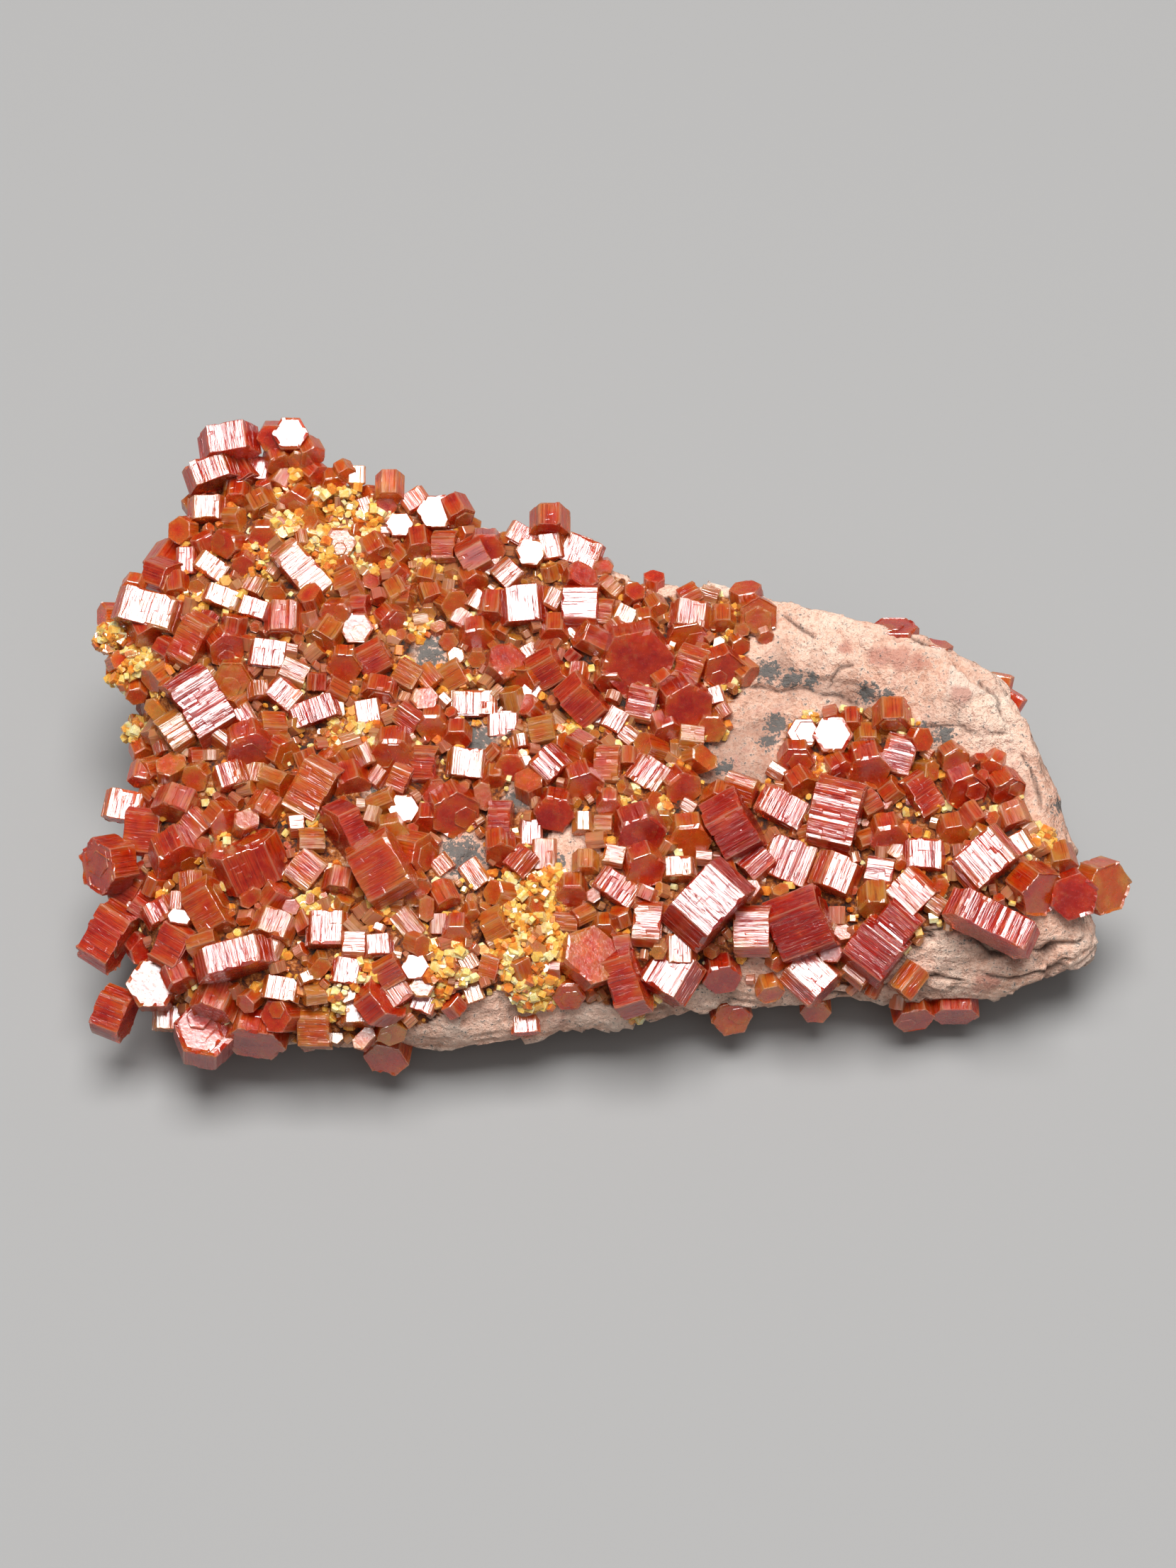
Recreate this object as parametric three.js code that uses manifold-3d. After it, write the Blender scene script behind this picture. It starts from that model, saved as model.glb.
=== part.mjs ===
// Vanadinite on matrix: a wedge of pale rock whose upper side is crowded with stout
// six-sided crystals. Millimetres, +X along the specimen, +Y to its back, +Z up.
import * as THREE from 'three';
import { mergeVertices } from 'three/addons/utils/BufferGeometryUtils.js';
import Module from 'manifold-3d';

// ---- driving dimensions ----
const COLUMNS = 48; // steps around the rock
const RIM_TOP = 19; // height of the upper side above the base, at the middle
const UPPER_SLOPE = 0.2; // rise of the upper side towards the back, per mm
const RIM_UNDER = 5.5; // height of the lower edge of the walls
const FLAT_BASE = 0.66; // share of the way out to the edge that lies flat on the ground
const LEDGE = 1.1; // half the height of the step that crosses the bare right half
const LEDGE_LINE = [14, 3.5, 0.22]; // a point on the step and how far it falls per mm to the right
const LEDGE_WIDTH = 1.2; // half width of the step
const LEDGE_START = [2, 14]; // the step fades in between these places along the specimen
const SWELLS = [1.1, 31, 1.3]; // broad bumps: height, wavelength, seed
const RIPPLES = [0.35, 11, 4]; // finer bumps
const WALL_SLOPE = [0.6, 2.6, 2.6]; // top edge inside the outline: all round, in front, at the right
const STRATA = [0.45, 19, 3]; // bands of the walls: depth, bands up the wall, slant
const GAP = 0.3; // clearance between neighbouring solids
const DISPLAY_MIDDLE = [-1.85, 0.3]; // from the middle of the rock's box to the point displayed about
const DISPLAY_HEIGHT = 16; // height of that point
const DISPLAY_TILT = 57; // display direction above the horizon, degrees
const SIDE_TILT = 20; // the same for the crystals placed from behind and from the left
const USUAL_LIFT = 0.12; // how far a crystal's middle stands off the rock, per mm across
const FAR = 200; // start of a ray, well outside the specimen
const SLIVER = 0.6; // bodies under this volume, mm3, are crumbs left by a cut
const SMOOTHING = 0.15; // cut edges shorter than this, mm, are merged
const SIDE_EDGE = 15; // where the left and right thirds start, for names
const DEPTH_EDGE = 8; // where the front and back thirds start, for names

const ROCK_COLOUR = 0xe0b9a2;
const CRYSTAL_COLOURS = [0xa8280f, 0xb83a16, 0x9c2412, 0xc4501c];

// Outline of the rock from above, anticlockwise from the right: x, y.
const OUTLINE = [
  [47.2, -16.5], [45, -10], [43.5, -5], [40.5, 1], [37.5, 5.8], [32.6, 7.9],
  [22.6, 10.3], [13.3, 13.7], [3.9, 15.3], [-0.5, 17.4], [-9.4, 19.6], [-16, 20.8],
  [-24, 24], [-29, 27.4], [-36, 28], [-40, 23], [-42, 15], [-43.5, 9], [-43, 3], [-41.5, -2],
  [-43.5, -11], [-43.4, -19.5], [-40.8, -25.4], [-29.4, -27.6], [-16, -28.3], [-2.7, -26.4],
  [10.6, -24.4], [23.9, -22.8], [37.3, -23.8], [46.4, -20.4],
];

// The rock as a turned puck, before it is shaped: [share of the way out, level],
// with level 1 on the upper side and level 0 on the underside.
const PUCK = [
  [0, 1], [0.22, 1], [0.44, 1], [0.64, 1], [0.82, 1], [0.97, 0.97],
  [1, 0.78], [1, 0.45], [0.985, 0.15], [0.9, 0], [FLAT_BASE, 0], [0, 0],
];

const polar = OUTLINE.map(([x, y]) => [Math.atan2(y, x), Math.hypot(x, y)])
  .sort((a, b) => a[0] - b[0]);

function outlineRadius(angle) {
  const turn = 2 * Math.PI;
  let next = polar.findIndex(([a]) => a > angle);
  if (next < 0) next = 0;
  const last = (next + polar.length - 1) % polar.length;
  const [a0, r0] = polar[last];
  const [a1, r1] = polar[next];
  const span = (a1 - a0 + turn) % turn;
  const share = ((angle - a0 + turn) % turn) / span;
  return r0 + (r1 - r0) * share;
}

function smoothstep(value, from, to) {
  return THREE.MathUtils.smoothstep(value, from, to);
}

// Bumps of the rock: three crossed waves.
function bumps(x, y, [height, wavelength, seed]) {
  const k = (2 * Math.PI) / wavelength;
  const a = Math.sin(k * (x + 0.31 * y) + seed);
  const b = Math.sin(k * (0.83 * y - 0.42 * x) + 2.3 * seed);
  const c = Math.sin(k * (0.7 * x + 0.9 * y) * 1.7 + 4.1 * seed);
  return (height * (a + b + c)) / 3;
}

function ledge(x, y) {
  const [lineX, lineY, fall] = LEDGE_LINE;
  const beyond = y - lineY + fall * (x - lineX);
  return LEDGE * Math.tanh(beyond / LEDGE_WIDTH) * smoothstep(x, ...LEDGE_START);
}

function upperSide(x, y) {
  return RIM_TOP + UPPER_SLOPE * y + ledge(x, y) + bumps(x, y, SWELLS) + bumps(x, y, RIPPLES);
}

// How far the top edge stands inside the outline: the front and right walls slope.
function wallSlope(angle) {
  const [round, front, right] = WALL_SLOPE;
  const inFront = smoothstep(-Math.sin(angle), 0.05, 0.45);
  const atRight = smoothstep(Math.cos(angle), 0.2, 0.9);
  return round + inFront * (front + right * atRight);
}

// Bands that stand out from the walls.
function strata(level, angle) {
  const [depth, bands, slant] = STRATA;
  return level > 0.2 && level < 0.9 ? depth * Math.sin(bands * level + slant * angle) : 0;
}

// Moves one point of the puck to its place on the rock; grow swells the rock all round.
function shapeRock(point, grow) {
  const share = Math.hypot(point.x, point.z);
  const level = point.y;
  const angle = Math.atan2(point.z, point.x);
  const out = outlineRadius(angle) + grow;
  const slope = wallSlope(angle) * smoothstep(level, 0.2, 1);
  const radius = share * (out - slope + strata(level, angle));
  const x = radius * Math.cos(angle);
  const y = radius * Math.sin(angle);
  const under = RIM_UNDER * smoothstep(share, FLAT_BASE, 1) - grow;
  const upper = upperSide(x, y) + 1.1 * grow;
  point.set(x, y, under + (upper - under) * level);
}

const wasm = await Module();
wasm.setup();

function toSolid(geometry) {
  const bare = geometry.clone();
  bare.deleteAttribute('normal');
  bare.deleteAttribute('uv');
  const merged = mergeVertices(bare, 1e-5);
  const mesh = new wasm.Mesh({
    numProp: 3,
    vertProperties: new Float32Array(merged.attributes.position.array),
    triVerts: new Uint32Array(merged.index.array),
  });
  return new wasm.Manifold(mesh);
}

function toGeometry(solid) {
  const mesh = solid.getMesh();
  const geometry = new THREE.BufferGeometry();
  geometry.setAttribute('position', new THREE.BufferAttribute(mesh.vertProperties, 3));
  geometry.setIndex(new THREE.BufferAttribute(mesh.triVerts, 1));
  geometry.computeVertexNormals();
  return geometry;
}

function rockGeometry(grow) {
  const profile = PUCK.map(([share, level]) => new THREE.Vector2(share, level));
  const geometry = new THREE.LatheGeometry(profile, COLUMNS);
  const position = geometry.attributes.position;
  const point = new THREE.Vector3();
  for (let i = 0; i < position.count; i += 1) {
    point.fromBufferAttribute(position, i);
    shapeRock(point, grow);
    position.setXYZ(i, point.x, point.y, point.z);
  }
  return geometry;
}

// ---- crystals ----
// A crystal is a stout prism on a six-sided outline with 120 degree corners. It is placed
// as seen from the display direction, from the point the specimen is displayed about:
// [right, up, across, thick, turn, lean, broad, spin, lift]
//   across  corner to corner, square to the crystal's axis
//   thick   length along the axis
//   turn    direction of the axis in that view, degrees anticlockwise from the right
//   lean    degrees that the axis comes forward out of that view
//   broad   share of the width taken by the face that looks at the viewer
//   spin    degrees turned about the axis
//   lift    mm that the middle stands proud of its usual seat in the rock
const CRYSTALS = {
  back_left: [
    [-35.2, 28.2, 6, 3, -80, 20, 0.6], [-36.8, 25.4, 5.5, 2.6, -70, 15, 0.6],
    [-29.2, 29.0, 3.6, 2, 90, 80, 0.5], [-31, 29.0, 3, 2, -90, 70, 0.5],
    [-32.3, 25.8, 3.4, 2.4, -100, 20, 0.75], [-37.1, 21.8, 4, 2.5, -90, 14, 0.6],
    [-32, 22.3, 3.2, 2.2, -60, 30, 0.5], [-41, 16.9, 4.2, 3, -120, 35, 0.5],
    [-27.8, 15.6, 6.8, 2.9, -140, 14, 0.78], [-24.3, 18.5, 3.3, 2, 90, 84, 0.5],
    [-23.3, 14.5, 3.9, 2.4, 25, 10, 0.5, 30], [-28.6, 22.6, 3.4, 2, -120, 55, 0.5],
  ],
  back_crest: [
    [-15.2, 21.4, 3.8, 2.2, 90, 76, 0.5], [-13.3, 21.7, 3.1, 2.4, -60, 30, 0.5],
    [-20.9, 17.9, 3.5, 2.2, -60, 35, 0.5], [-16.8, 18.5, 3.1, 2.6, -80, 40, 0.5],
    [-14.3, 18.1, 3.4, 2.4, 0, 10, 0.6], [-10.5, 18, 4, 2.4, -90, 70, 0.5],
    [-7, 19.2, 3.3, 2.0, -120, 20, 0.85], [-4.4, 20.5, 4, 2.6, -90, 28, 0.5],
    [-4.3, 18, 3.2, 2.6, -80, 15, 0.6], [-1.5, 17.6, 4.3, 3, -110, 20, 0.82],
  ],
  left_upper: [
    [-42.3, 12, 6.5, 3.4, -105, 14, 0.75], [-38, 9, 5.8, 2.8, -28, 14, 0.7],
    [-34.9, 8.6, 3.8, 2.2, -50, 55, 0.5], [-34, 5.6, 3.9, 2.2, -90, 75, 0.5],
    [-29.3, 11, 4, 3.2, -90, 25, 0.6], [-30.7, 7.8, 3.8, 2.7, -97, 18, 0.8],
    [-29.2, 4, 3.6, 2.4, -130, 18, 0.75], [-36.8, 2.9, 7.4, 4.3, -147, 12, 0.7],
    [-39.2, 0.4, 4.2, 2.6, -147, 14, 0.6], [-32.2, -0.9, 5, 2.8, -70, 55, 0.5],
  ],
  left_middle: [
    [-26.3, 2.3, 5, 2.4, -70, 20, 0.8], [-33.8, -3.7, 3.4, 2.4, -70, 20, 0.6],
    [-26.2, -5, 6.4, 3.6, -28, 14, 0.75], [-44, -6.5, 4.2, 2.9, -100, 15, 0.7],
    [-42.1, -8.8, 4.6, 3.4, -6, 12, 0.8], [-45.2, -11.8, 5.6, 3, -170, 45, 0.5],
    [-43.5, -14.3, 4.2, 2.6, -27, 20, 0.65], [-38.7, -10.8, 5.2, 3, -60, 40, 0.5],
    [-38.8, -6.4, 4.6, 2.6, -110, 30, 0.5], [-31.8, -11.5, 7, 4, 112, 18, 0.6],
    [-35.4, -15.6, 5.6, 3, 30, 16, 0.65],
    [-30.6, -6.6, 3.4, 2.4, -120, 30, 0.5], [-26.6, -12.2, 3.7, 2.9, -38, 12, 0.8],
  ],
  left_lower: [
    [-45, -18.4, 6.5, 3.6, -30, 18, 0.7],
    [-38.7, -19.1, 4.5, 3, -28, 18, 0.75], [-32.8, -20.3, 7.5, 2.7, -75, 18, 0.65],
    [-34.7, -24.2, 4.4, 3, -110, 30, 0.5], [-40.6, -22.9, 5, 2.6, 90, 76, 0.5],
    [-44.3, -25.4, 5, 3, -20, 14, 0.6], [-38.8, -26, 4.4, 2.2, -90, 14, 0.75],
    [-35.8, -27.4, 6, 3.2, 80, 60, 0.5], [-31, -26.8, 6, 3.4, -100, 35, 0.55],
    [-25.6, -26.6, 4.2, 3, 0, 8, 0.65, 15], [-29.4, -17.4, 4.2, 2.6, -110, 28, 0.6],
    [-24.5, -17.6, 4, 3.2, -90, 18, 0.7],
  ],
  middle_upper: [
    [-22.5, 10.2, 3.3, 2.2, 90, 82, 0.5], [-20.9, 7.4, 3.6, 3, 28, 10, 0.7, 10],
    [-23.6, 7, 3.6, 2.4, -90, 60, 0.5], [-25.4, 9.6, 3.6, 2.6, -120, 40, 0.5],
    [-13.7, 12.8, 3.2, 2.4, -30, 60, 0.5], [-18.7, 13.6, 3.2, 2.4, -60, 40, 0.5],
    [-19.4, 11.2, 3.2, 2, -45, 50, 0.5], [-15.3, 1.4, 3.2, 2, -90, 55, 0.5],
  ],
  middle_crest: [
    [-6.9, 12.4, 4.6, 3.6, -85, 14, 0.65], [-1.4, 12.2, 5, 3.4, 0, 6, 0.62, -18],
    [-8.7, 6.8, 4, 2.8, 50, 62, 0.5], [-4.5, 6.4, 4.2, 3, 30, 16, 0.6, 14],
    [-1.2, 3.4, 5.6, 3, 42, 12, 0.6, 12], [-3.9, 10.2, 3, 2.2, -90, 40, 0.5],
  ],
  middle_lower: [
    [-18.9, -1.3, 4.6, 3, -90, 60, 0.5], [-15.9, -2.7, 4, 2.5, -3, 12, 0.6],
    [-12, -2.6, 4, 2.9, -95, 18, 0.7], [-4.4, -2.7, 3.8, 2.8, -45, 14, 0.6],
    [-1.3, -4.2, 4, 2.6, -70, 55, 0.5], [-22.8, -4, 3.8, 2.6, -70, 40, 0.5],
    [-22.7, -9.4, 7.6, 2.4, -154, 26, 0.6], [-19.5, -12, 6.6, 4.4, 30, 10, 0.7, -6, 1.6],
    [-16.7, -10.6, 4, 3, -10, 40, 0.5], [-13.2, -6.7, 5, 3, -60, 62, 0.5],
    [-8.8, -7.8, 4, 2.3, 0, 10, 0.6], [-3.8, -6.7, 4, 2.6, -100, 66, 0.5],
    [-23.4, -13.4, 3.4, 2.2, -100, 30, 0.5],
  ],
  front_left: [
    [-18.7, -21.4, 3.2, 2.4, 30, 8, 0.7, 8], [-18, -23.4, 3.4, 2, -55, 12, 0.7],
    [-19.6, -24, 5, 2.4, 38, 30, 0.5], [-18.8, -26.5, 3, 2.4, -70, 50, 0.5],
    [-21.8, -25.2, 3, 2.2, -90, 18, 0.6], [-0.6, -20.2, 6, 2.6, 50, 66, 0.55],
    [-2.5, -23.3, 3.2, 2, -90, 60, 0.5],
  ],
  centre_upper: [
    [8.9, 11.3, 4.2, 2.8, -98, 24, 0.62], [8.6, 9.3, 4.6, 2.2, -80, 62, 0.5, 0, -0.8],
    [15.1, 11.6, 4, 2.4, -60, 74, 0.5], [14.2, 13.4, 3.2, 2, 100, 30, 0.5],
    [8.9, 6.7, 4, 2.8, -20, 12, 0.62, 12], [11.8, 6.6, 4.2, 2.6, -70, 62, 0.5],
    [3.8, 7.4, 7.2, 3.6, -80, 70, 0.5], [1.2, 5.8, 3, 2.4, -90, 45, 0.5],
    [4.2, 3.1, 3.6, 2.7, -12, 12, 0.8], [8.2, 3.2, 5.2, 3.4, -60, 64, 0.5],
    [6.5, 0.9, 3.4, 2.4, -70, 45, 0.5],
  ],
  centre_lower: [
    [1.1, -2.7, 4.1, 2.4, 0, 10, 0.65], [4.8, -3.5, 3.8, 3, -125, 16, 0.75],
    [7.8, -4.5, 3.8, 2.4, -50, 60, 0.5], [3.9, -8.6, 5, 3, -70, 58, 0.5],
    [8.5, -9.2, 4.4, 2.6, -85, 60, 0.5], [4.3, -11.7, 4, 2.8, -70, 60, 0.5],
    [7.5, -12.2, 3.6, 2, -88, 24, 0.65], [12.7, -8.2, 6.8, 3.9, 30, 10, 0.55, 10, 0.5],
    [17.2, -6.6, 5, 2.9, -118, 20, 0.82], [18.6, -1.9, 3.6, 2.4, -90, 62, 0.5],
    [18.9, -4.3, 3.4, 2.2, -60, 40, 0.5],
  ],
  front_centre: [
    [1.9, -13.9, 4.4, 2.4, -125, 20, 0.82], [4.7, -17.1, 4.4, 2.6, -4, 8, 0.7, -10],
    [10.2, -15.3, 8.2, 4.6, -42, 10, 0.62, -8, 0.8], [7.6, -19.5, 3.4, 2.7, -90, 12, 0.6],
    [14.3, -17.8, 4.9, 3.4, 0, 8, 0.68, -10], [18.8, -17.2, 6.6, 5.2, 22, 14, 0.65, 12],
    [11.4, -21.5, 3.8, 2.6, -80, 50, 0.5], [6.7, -21.8, 5.6, 4.2, -122, 14, 0.6, 14],
    [2.8, -22.1, 7.2, 2.9, 18, 12, 0.6], [19.8, -22.1, 4.8, 4, -43, 16, 0.6, -14],
    [24.4, -21.4, 3.4, 2.6, -40, 14, 0.65],
  ],
  right_upper: [
    [19.3, 0.2, 3.2, 2, 90, 74, 0.5], [22, 0, 3.9, 2.2, 90, 74, 0.5],
    [27.6, 1.9, 3.9, 2.6, -90, 35, 0.5], [28.2, -1.7, 4.2, 2.9, -15, 12, 0.75],
    [25.2, -2.6, 4.4, 3, -80, 55, 0.5], [30.2, -5.4, 4.6, 2.8, -148, 22, 0.78],
    [34.2, -4.6, 4.2, 2.8, -70, 55, 0.5],
    [22.6, -2.9, 3.2, 2.2, -60, 50, 0.5],
  ],
  right_middle: [
    [22.1, -7.2, 7, 4.5, -13, 12, 0.72, 0, 0.8], [17.7, -11.4, 5.2, 4, -112, 10, 0.8],
    [22.1, -12.7, 4.6, 3.4, -112, 12, 0.6], [26.9, -8.9, 3.8, 2.6, -80, 55, 0.5],
    [30.2, -11, 4, 3, -92, 22, 0.75], [28.9, -14.4, 4.4, 3.6, -45, 16, 0.7],
    [27.6, -17.2, 4.2, 3.6, -40, 12, 0.6, 12], [25.6, -19.6, 5.6, 4.6, -38, 10, 0.6, 10],
    [25.6, -15, 3.4, 2.6, -90, 40, 0.5], [33, -8.6, 3.2, 2.2, -80, 50, 0.5],
  ],
  far_edge: [
    [14.4, 12.9, 3.2, 2.2, 100, 30, 0.5, 0, -1.6], [28.2, 9.4, 4.6, 2.8, 90, 24, 0.5, 0, -3],
  ],
  under_front: [
    [-19.2, -28.8, 4.4, 3, -100, 45, 0.5, 0, -2.2], [12.5, -25.6, 4, 2.4, -80, 60, 0.5, 0, -2.4],
    [29.4, -25.4, 4, 2.6, -80, 40, 0.55, 0, -2],
    [33.4, -25, 4.6, 2.4, -90, 30, 0.6, 0, -2.4],
  ],
  right_end: [
    [35.6, -11.3, 6.2, 4, -50, 14, 0.72, 0, 0.6], [36, -17, 9, 3.1, -117, 20, 0.78, 0, 0.6],
    [40.2, -13.9, 5, 3, -40, 50, 0.5], [43.8, -14.5, 4.8, 2.4, -70, 76, 0.5, 0, 1.4],
    [47, -13.8, 5.4, 2.8, -20, 55, 0.5],
  ],
};

// Crystals on the back wall, placed in the same way as seen from behind.
const BACK_CRYSTALS = [
  [-36, -5.5, 3.6, 2.4, -70, 55, 0.5], [-31.5, -4.5, 4.4, 2.8, -120, 30, 0.6],
  [-27.6, -2.6, 4.6, 2.8, -95, 25, 0.55], [-14.4, -6.5, 3.8, 2.4, -60, 40, 0.5],
  [8, -9.5, 4.2, 2.6, -80, 60, 0.5], [21, -8.5, 4.8, 2.8, -40, 45, 0.5],
  [25.5, -11, 4, 2.6, -110, 30, 0.6], [31, -6.5, 4.6, 3, -75, 40, 0.5],
  [34.5, -10.5, 3.6, 2.4, -30, 55, 0.5],
];

// Crystals on the left wall, as seen from the left.
const LEFT_CRYSTALS = [
  [-16, 2.5, 4.2, 2.8, -60, 45, 0.5], [-12.5, -1.5, 3.4, 2.4, -110, 50, 0.5],
  [-4, 1, 3.8, 2.4, 20, 40, 0.55], [3.5, 2.2, 4, 2.6, -140, 30, 0.6],
  [20, -4, 3.8, 2.4, -70, 40, 0.5],
];

// The three directions that define a view, from its azimuth and height in degrees;
// azimuth 0 looks from the front and 90 from the right.
function view(azimuth, height) {
  const a = THREE.MathUtils.degToRad(azimuth);
  const h = THREE.MathUtils.degToRad(height);
  return {
    right: new THREE.Vector3(Math.cos(a), Math.sin(a), 0),
    up: new THREE.Vector3(-Math.sin(a) * Math.sin(h), Math.cos(a) * Math.sin(h), Math.cos(h)),
    towards: new THREE.Vector3(Math.sin(a) * Math.cos(h), -Math.cos(a) * Math.cos(h), Math.sin(h)),
  };
}

// A point or direction from its share along each direction of a view.
function inView(from, right, up, towards) {
  const result = new THREE.Vector3().addScaledVector(from.right, right);
  return result.addScaledVector(from.up, up).addScaledVector(from.towards, towards);
}

// Point of the rock behind a place in a view. Beside the rock, the nearest point towards
// the middle gives the depth.
function seat(rock, middle, from, right, up) {
  const raycaster = new THREE.Raycaster();
  for (let pull = 1; pull > 0.3; pull -= 0.02) {
    const origin = inView(from, right * pull, up * pull, FAR).add(middle);
    raycaster.set(origin, from.towards.clone().negate());
    const [hit] = raycaster.intersectObject(rock);
    if (hit) return inView(from, right, up, FAR - hit.distance).add(middle);
  }
  throw new Error(`no rock near ${right}, ${up}`);
}

// Six-sided outline with 120 degree corners; broad is the share of the front face.
function crystalOutline(across, broad) {
  const half = across / 2;
  const depth = half * Math.sqrt(3) * (1 - broad);
  const side = half * broad;
  const corners = [
    [half, 0], [side, depth], [-side, depth], [-half, 0], [-side, -depth], [side, -depth],
  ];
  return new THREE.Shape(corners.map(([a, b]) => new THREE.Vector2(a, b)));
}

function crystalSolid(rock, middle, from, entry) {
  const [right, up, across, thick, turn, lean, broad, spin = 0, lift = 0] = entry;
  const options = { depth: thick, bevelEnabled: false, steps: 1 };
  const geometry = new THREE.ExtrudeGeometry(crystalOutline(across, broad), options);
  geometry.translate(0, 0, -thick / 2);
  geometry.rotateZ(THREE.MathUtils.degToRad(spin));
  const bearing = THREE.MathUtils.degToRad(turn);
  const tip = THREE.MathUtils.degToRad(lean);
  const level = Math.cos(tip);
  const axis = inView(from, level * Math.cos(bearing), level * Math.sin(bearing), Math.sin(tip));
  const widthways = inView(from, -Math.sin(bearing), Math.cos(bearing), 0);
  const frontways = new THREE.Vector3().crossVectors(axis, widthways);
  geometry.applyMatrix4(new THREE.Matrix4().makeBasis(widthways, frontways, axis));
  const place = seat(rock, middle, from, right, up);
  place.addScaledVector(from.towards, lift + USUAL_LIFT * across);
  geometry.translate(place.x, place.y, place.z);
  return toSolid(geometry);
}

function thirdOf(value, edge, names) {
  if (value < -edge) return names[0];
  return value > edge ? names[2] : names[1];
}

function namedMesh(name, geometry, colour, roughness) {
  const material = new THREE.MeshStandardMaterial({ color: colour, roughness, metalness: 0 });
  const mesh = new THREE.Mesh(geometry, material);
  mesh.name = name;
  return mesh;
}

const group = new THREE.Group();
const rockMesh = namedMesh('matrix', toGeometry(toSolid(rockGeometry(0))), ROCK_COLOUR, 0.9);
rockMesh.updateMatrixWorld(true);
group.add(rockMesh);

const rockBox = new THREE.Box3().setFromObject(rockMesh);
const rockMiddle = rockBox.getCenter(new THREE.Vector3());
const [aside, behind] = DISPLAY_MIDDLE;
const middle = new THREE.Vector3(rockMiddle.x + aside, rockMiddle.y + behind, DISPLAY_HEIGHT);

// Crystals that overlap are intergrown, so each connected group is one solid.
const displayed = Object.values(CRYSTALS).flat();
const joined = wasm.Manifold.union([
  ...displayed.map((entry) => crystalSolid(rockMesh, middle, view(0, DISPLAY_TILT), entry)),
  ...BACK_CRYSTALS.map((entry) => crystalSolid(rockMesh, middle, view(180, SIDE_TILT), entry)),
  ...LEFT_CRYSTALS.map((entry) => crystalSolid(rockMesh, middle, view(270, SIDE_TILT), entry)),
]);
const seated = joined.subtract(toSolid(rockGeometry(GAP))).simplify(SMOOTHING);
const bodies = seated.decompose().filter((body) => body.volume() > SLIVER);
bodies.sort((a, b) => b.volume() - a.volume());
const counts = {};
bodies.forEach((body, index) => {
  const { min, max } = body.boundingBox();
  const side = thirdOf((min[0] + max[0]) / 2, SIDE_EDGE, ['left', 'middle', 'right']);
  const depth = thirdOf((min[1] + max[1]) / 2, DEPTH_EDGE, ['front', 'centre', 'back']);
  const place = `${depth}_${side}`;
  counts[place] = (counts[place] ?? 0) + 1;
  const colour = CRYSTAL_COLOURS[index % CRYSTAL_COLOURS.length];
  group.add(namedMesh(`crystals_${place}_${counts[place]}`, toGeometry(body), colour, 0.25));
});

// Stand the specimen on z = 0 with the middle of its box on the Z axis.
const box = new THREE.Box3().setFromObject(group);
const centre = box.getCenter(new THREE.Vector3());
group.position.set(-centre.x, -centre.y, -box.min.z);
group.updateMatrixWorld(true);

export default group;
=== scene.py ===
"""Looks of a specimen of vanadinite on its matrix: the rock, its crystals and the small grains.

Lengths are in millimetres until the meshes are made. A place on the specimen is given as
(right, up): millimetres from the middle of the display view, which looks at its upper side.
"""
import math

import bmesh
import bpy
import numpy as np
from mathutils import Matrix, Quaternion, Vector, noise
from mathutils.bvhtree import BVHTree


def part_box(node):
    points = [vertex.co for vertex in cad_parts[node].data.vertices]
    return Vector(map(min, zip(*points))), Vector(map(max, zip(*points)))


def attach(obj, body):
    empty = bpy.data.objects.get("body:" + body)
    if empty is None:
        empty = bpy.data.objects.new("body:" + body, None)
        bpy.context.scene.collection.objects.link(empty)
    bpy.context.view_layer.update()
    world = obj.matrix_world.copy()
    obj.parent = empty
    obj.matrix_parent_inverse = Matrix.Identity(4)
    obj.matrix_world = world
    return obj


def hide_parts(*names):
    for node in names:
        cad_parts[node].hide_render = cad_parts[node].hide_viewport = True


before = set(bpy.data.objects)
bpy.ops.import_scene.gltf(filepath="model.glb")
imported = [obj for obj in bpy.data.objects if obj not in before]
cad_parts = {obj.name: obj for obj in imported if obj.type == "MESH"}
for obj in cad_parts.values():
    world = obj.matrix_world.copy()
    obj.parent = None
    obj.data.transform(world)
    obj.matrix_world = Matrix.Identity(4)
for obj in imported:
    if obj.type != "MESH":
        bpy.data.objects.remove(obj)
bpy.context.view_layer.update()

MM = 0.001
SEED = 20
DISPLAY_MIDDLE = (-1.85, 0.3)  # from the middle of the rock's box to the point displayed about
DISPLAY_HEIGHT = 16
DISPLAY_TILT = 57  # display direction above the horizon, degrees
SIDE_TILT = 20  # the same for the crystals placed from behind and from the left
USUAL_LIFT = 0.12  # how far a crystal's middle stands off the rock, per mm across
FAR = 200  # start of a ray, well outside the specimen
LEAST_PULL = 0.3  # how far inwards a seat is looked for, as a share of the place
PULL_STEP = 0.02
SIDE_EDGE = 15  # where the left and right thirds start
DEPTH_EDGE = 8  # where the front and back thirds start

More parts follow.
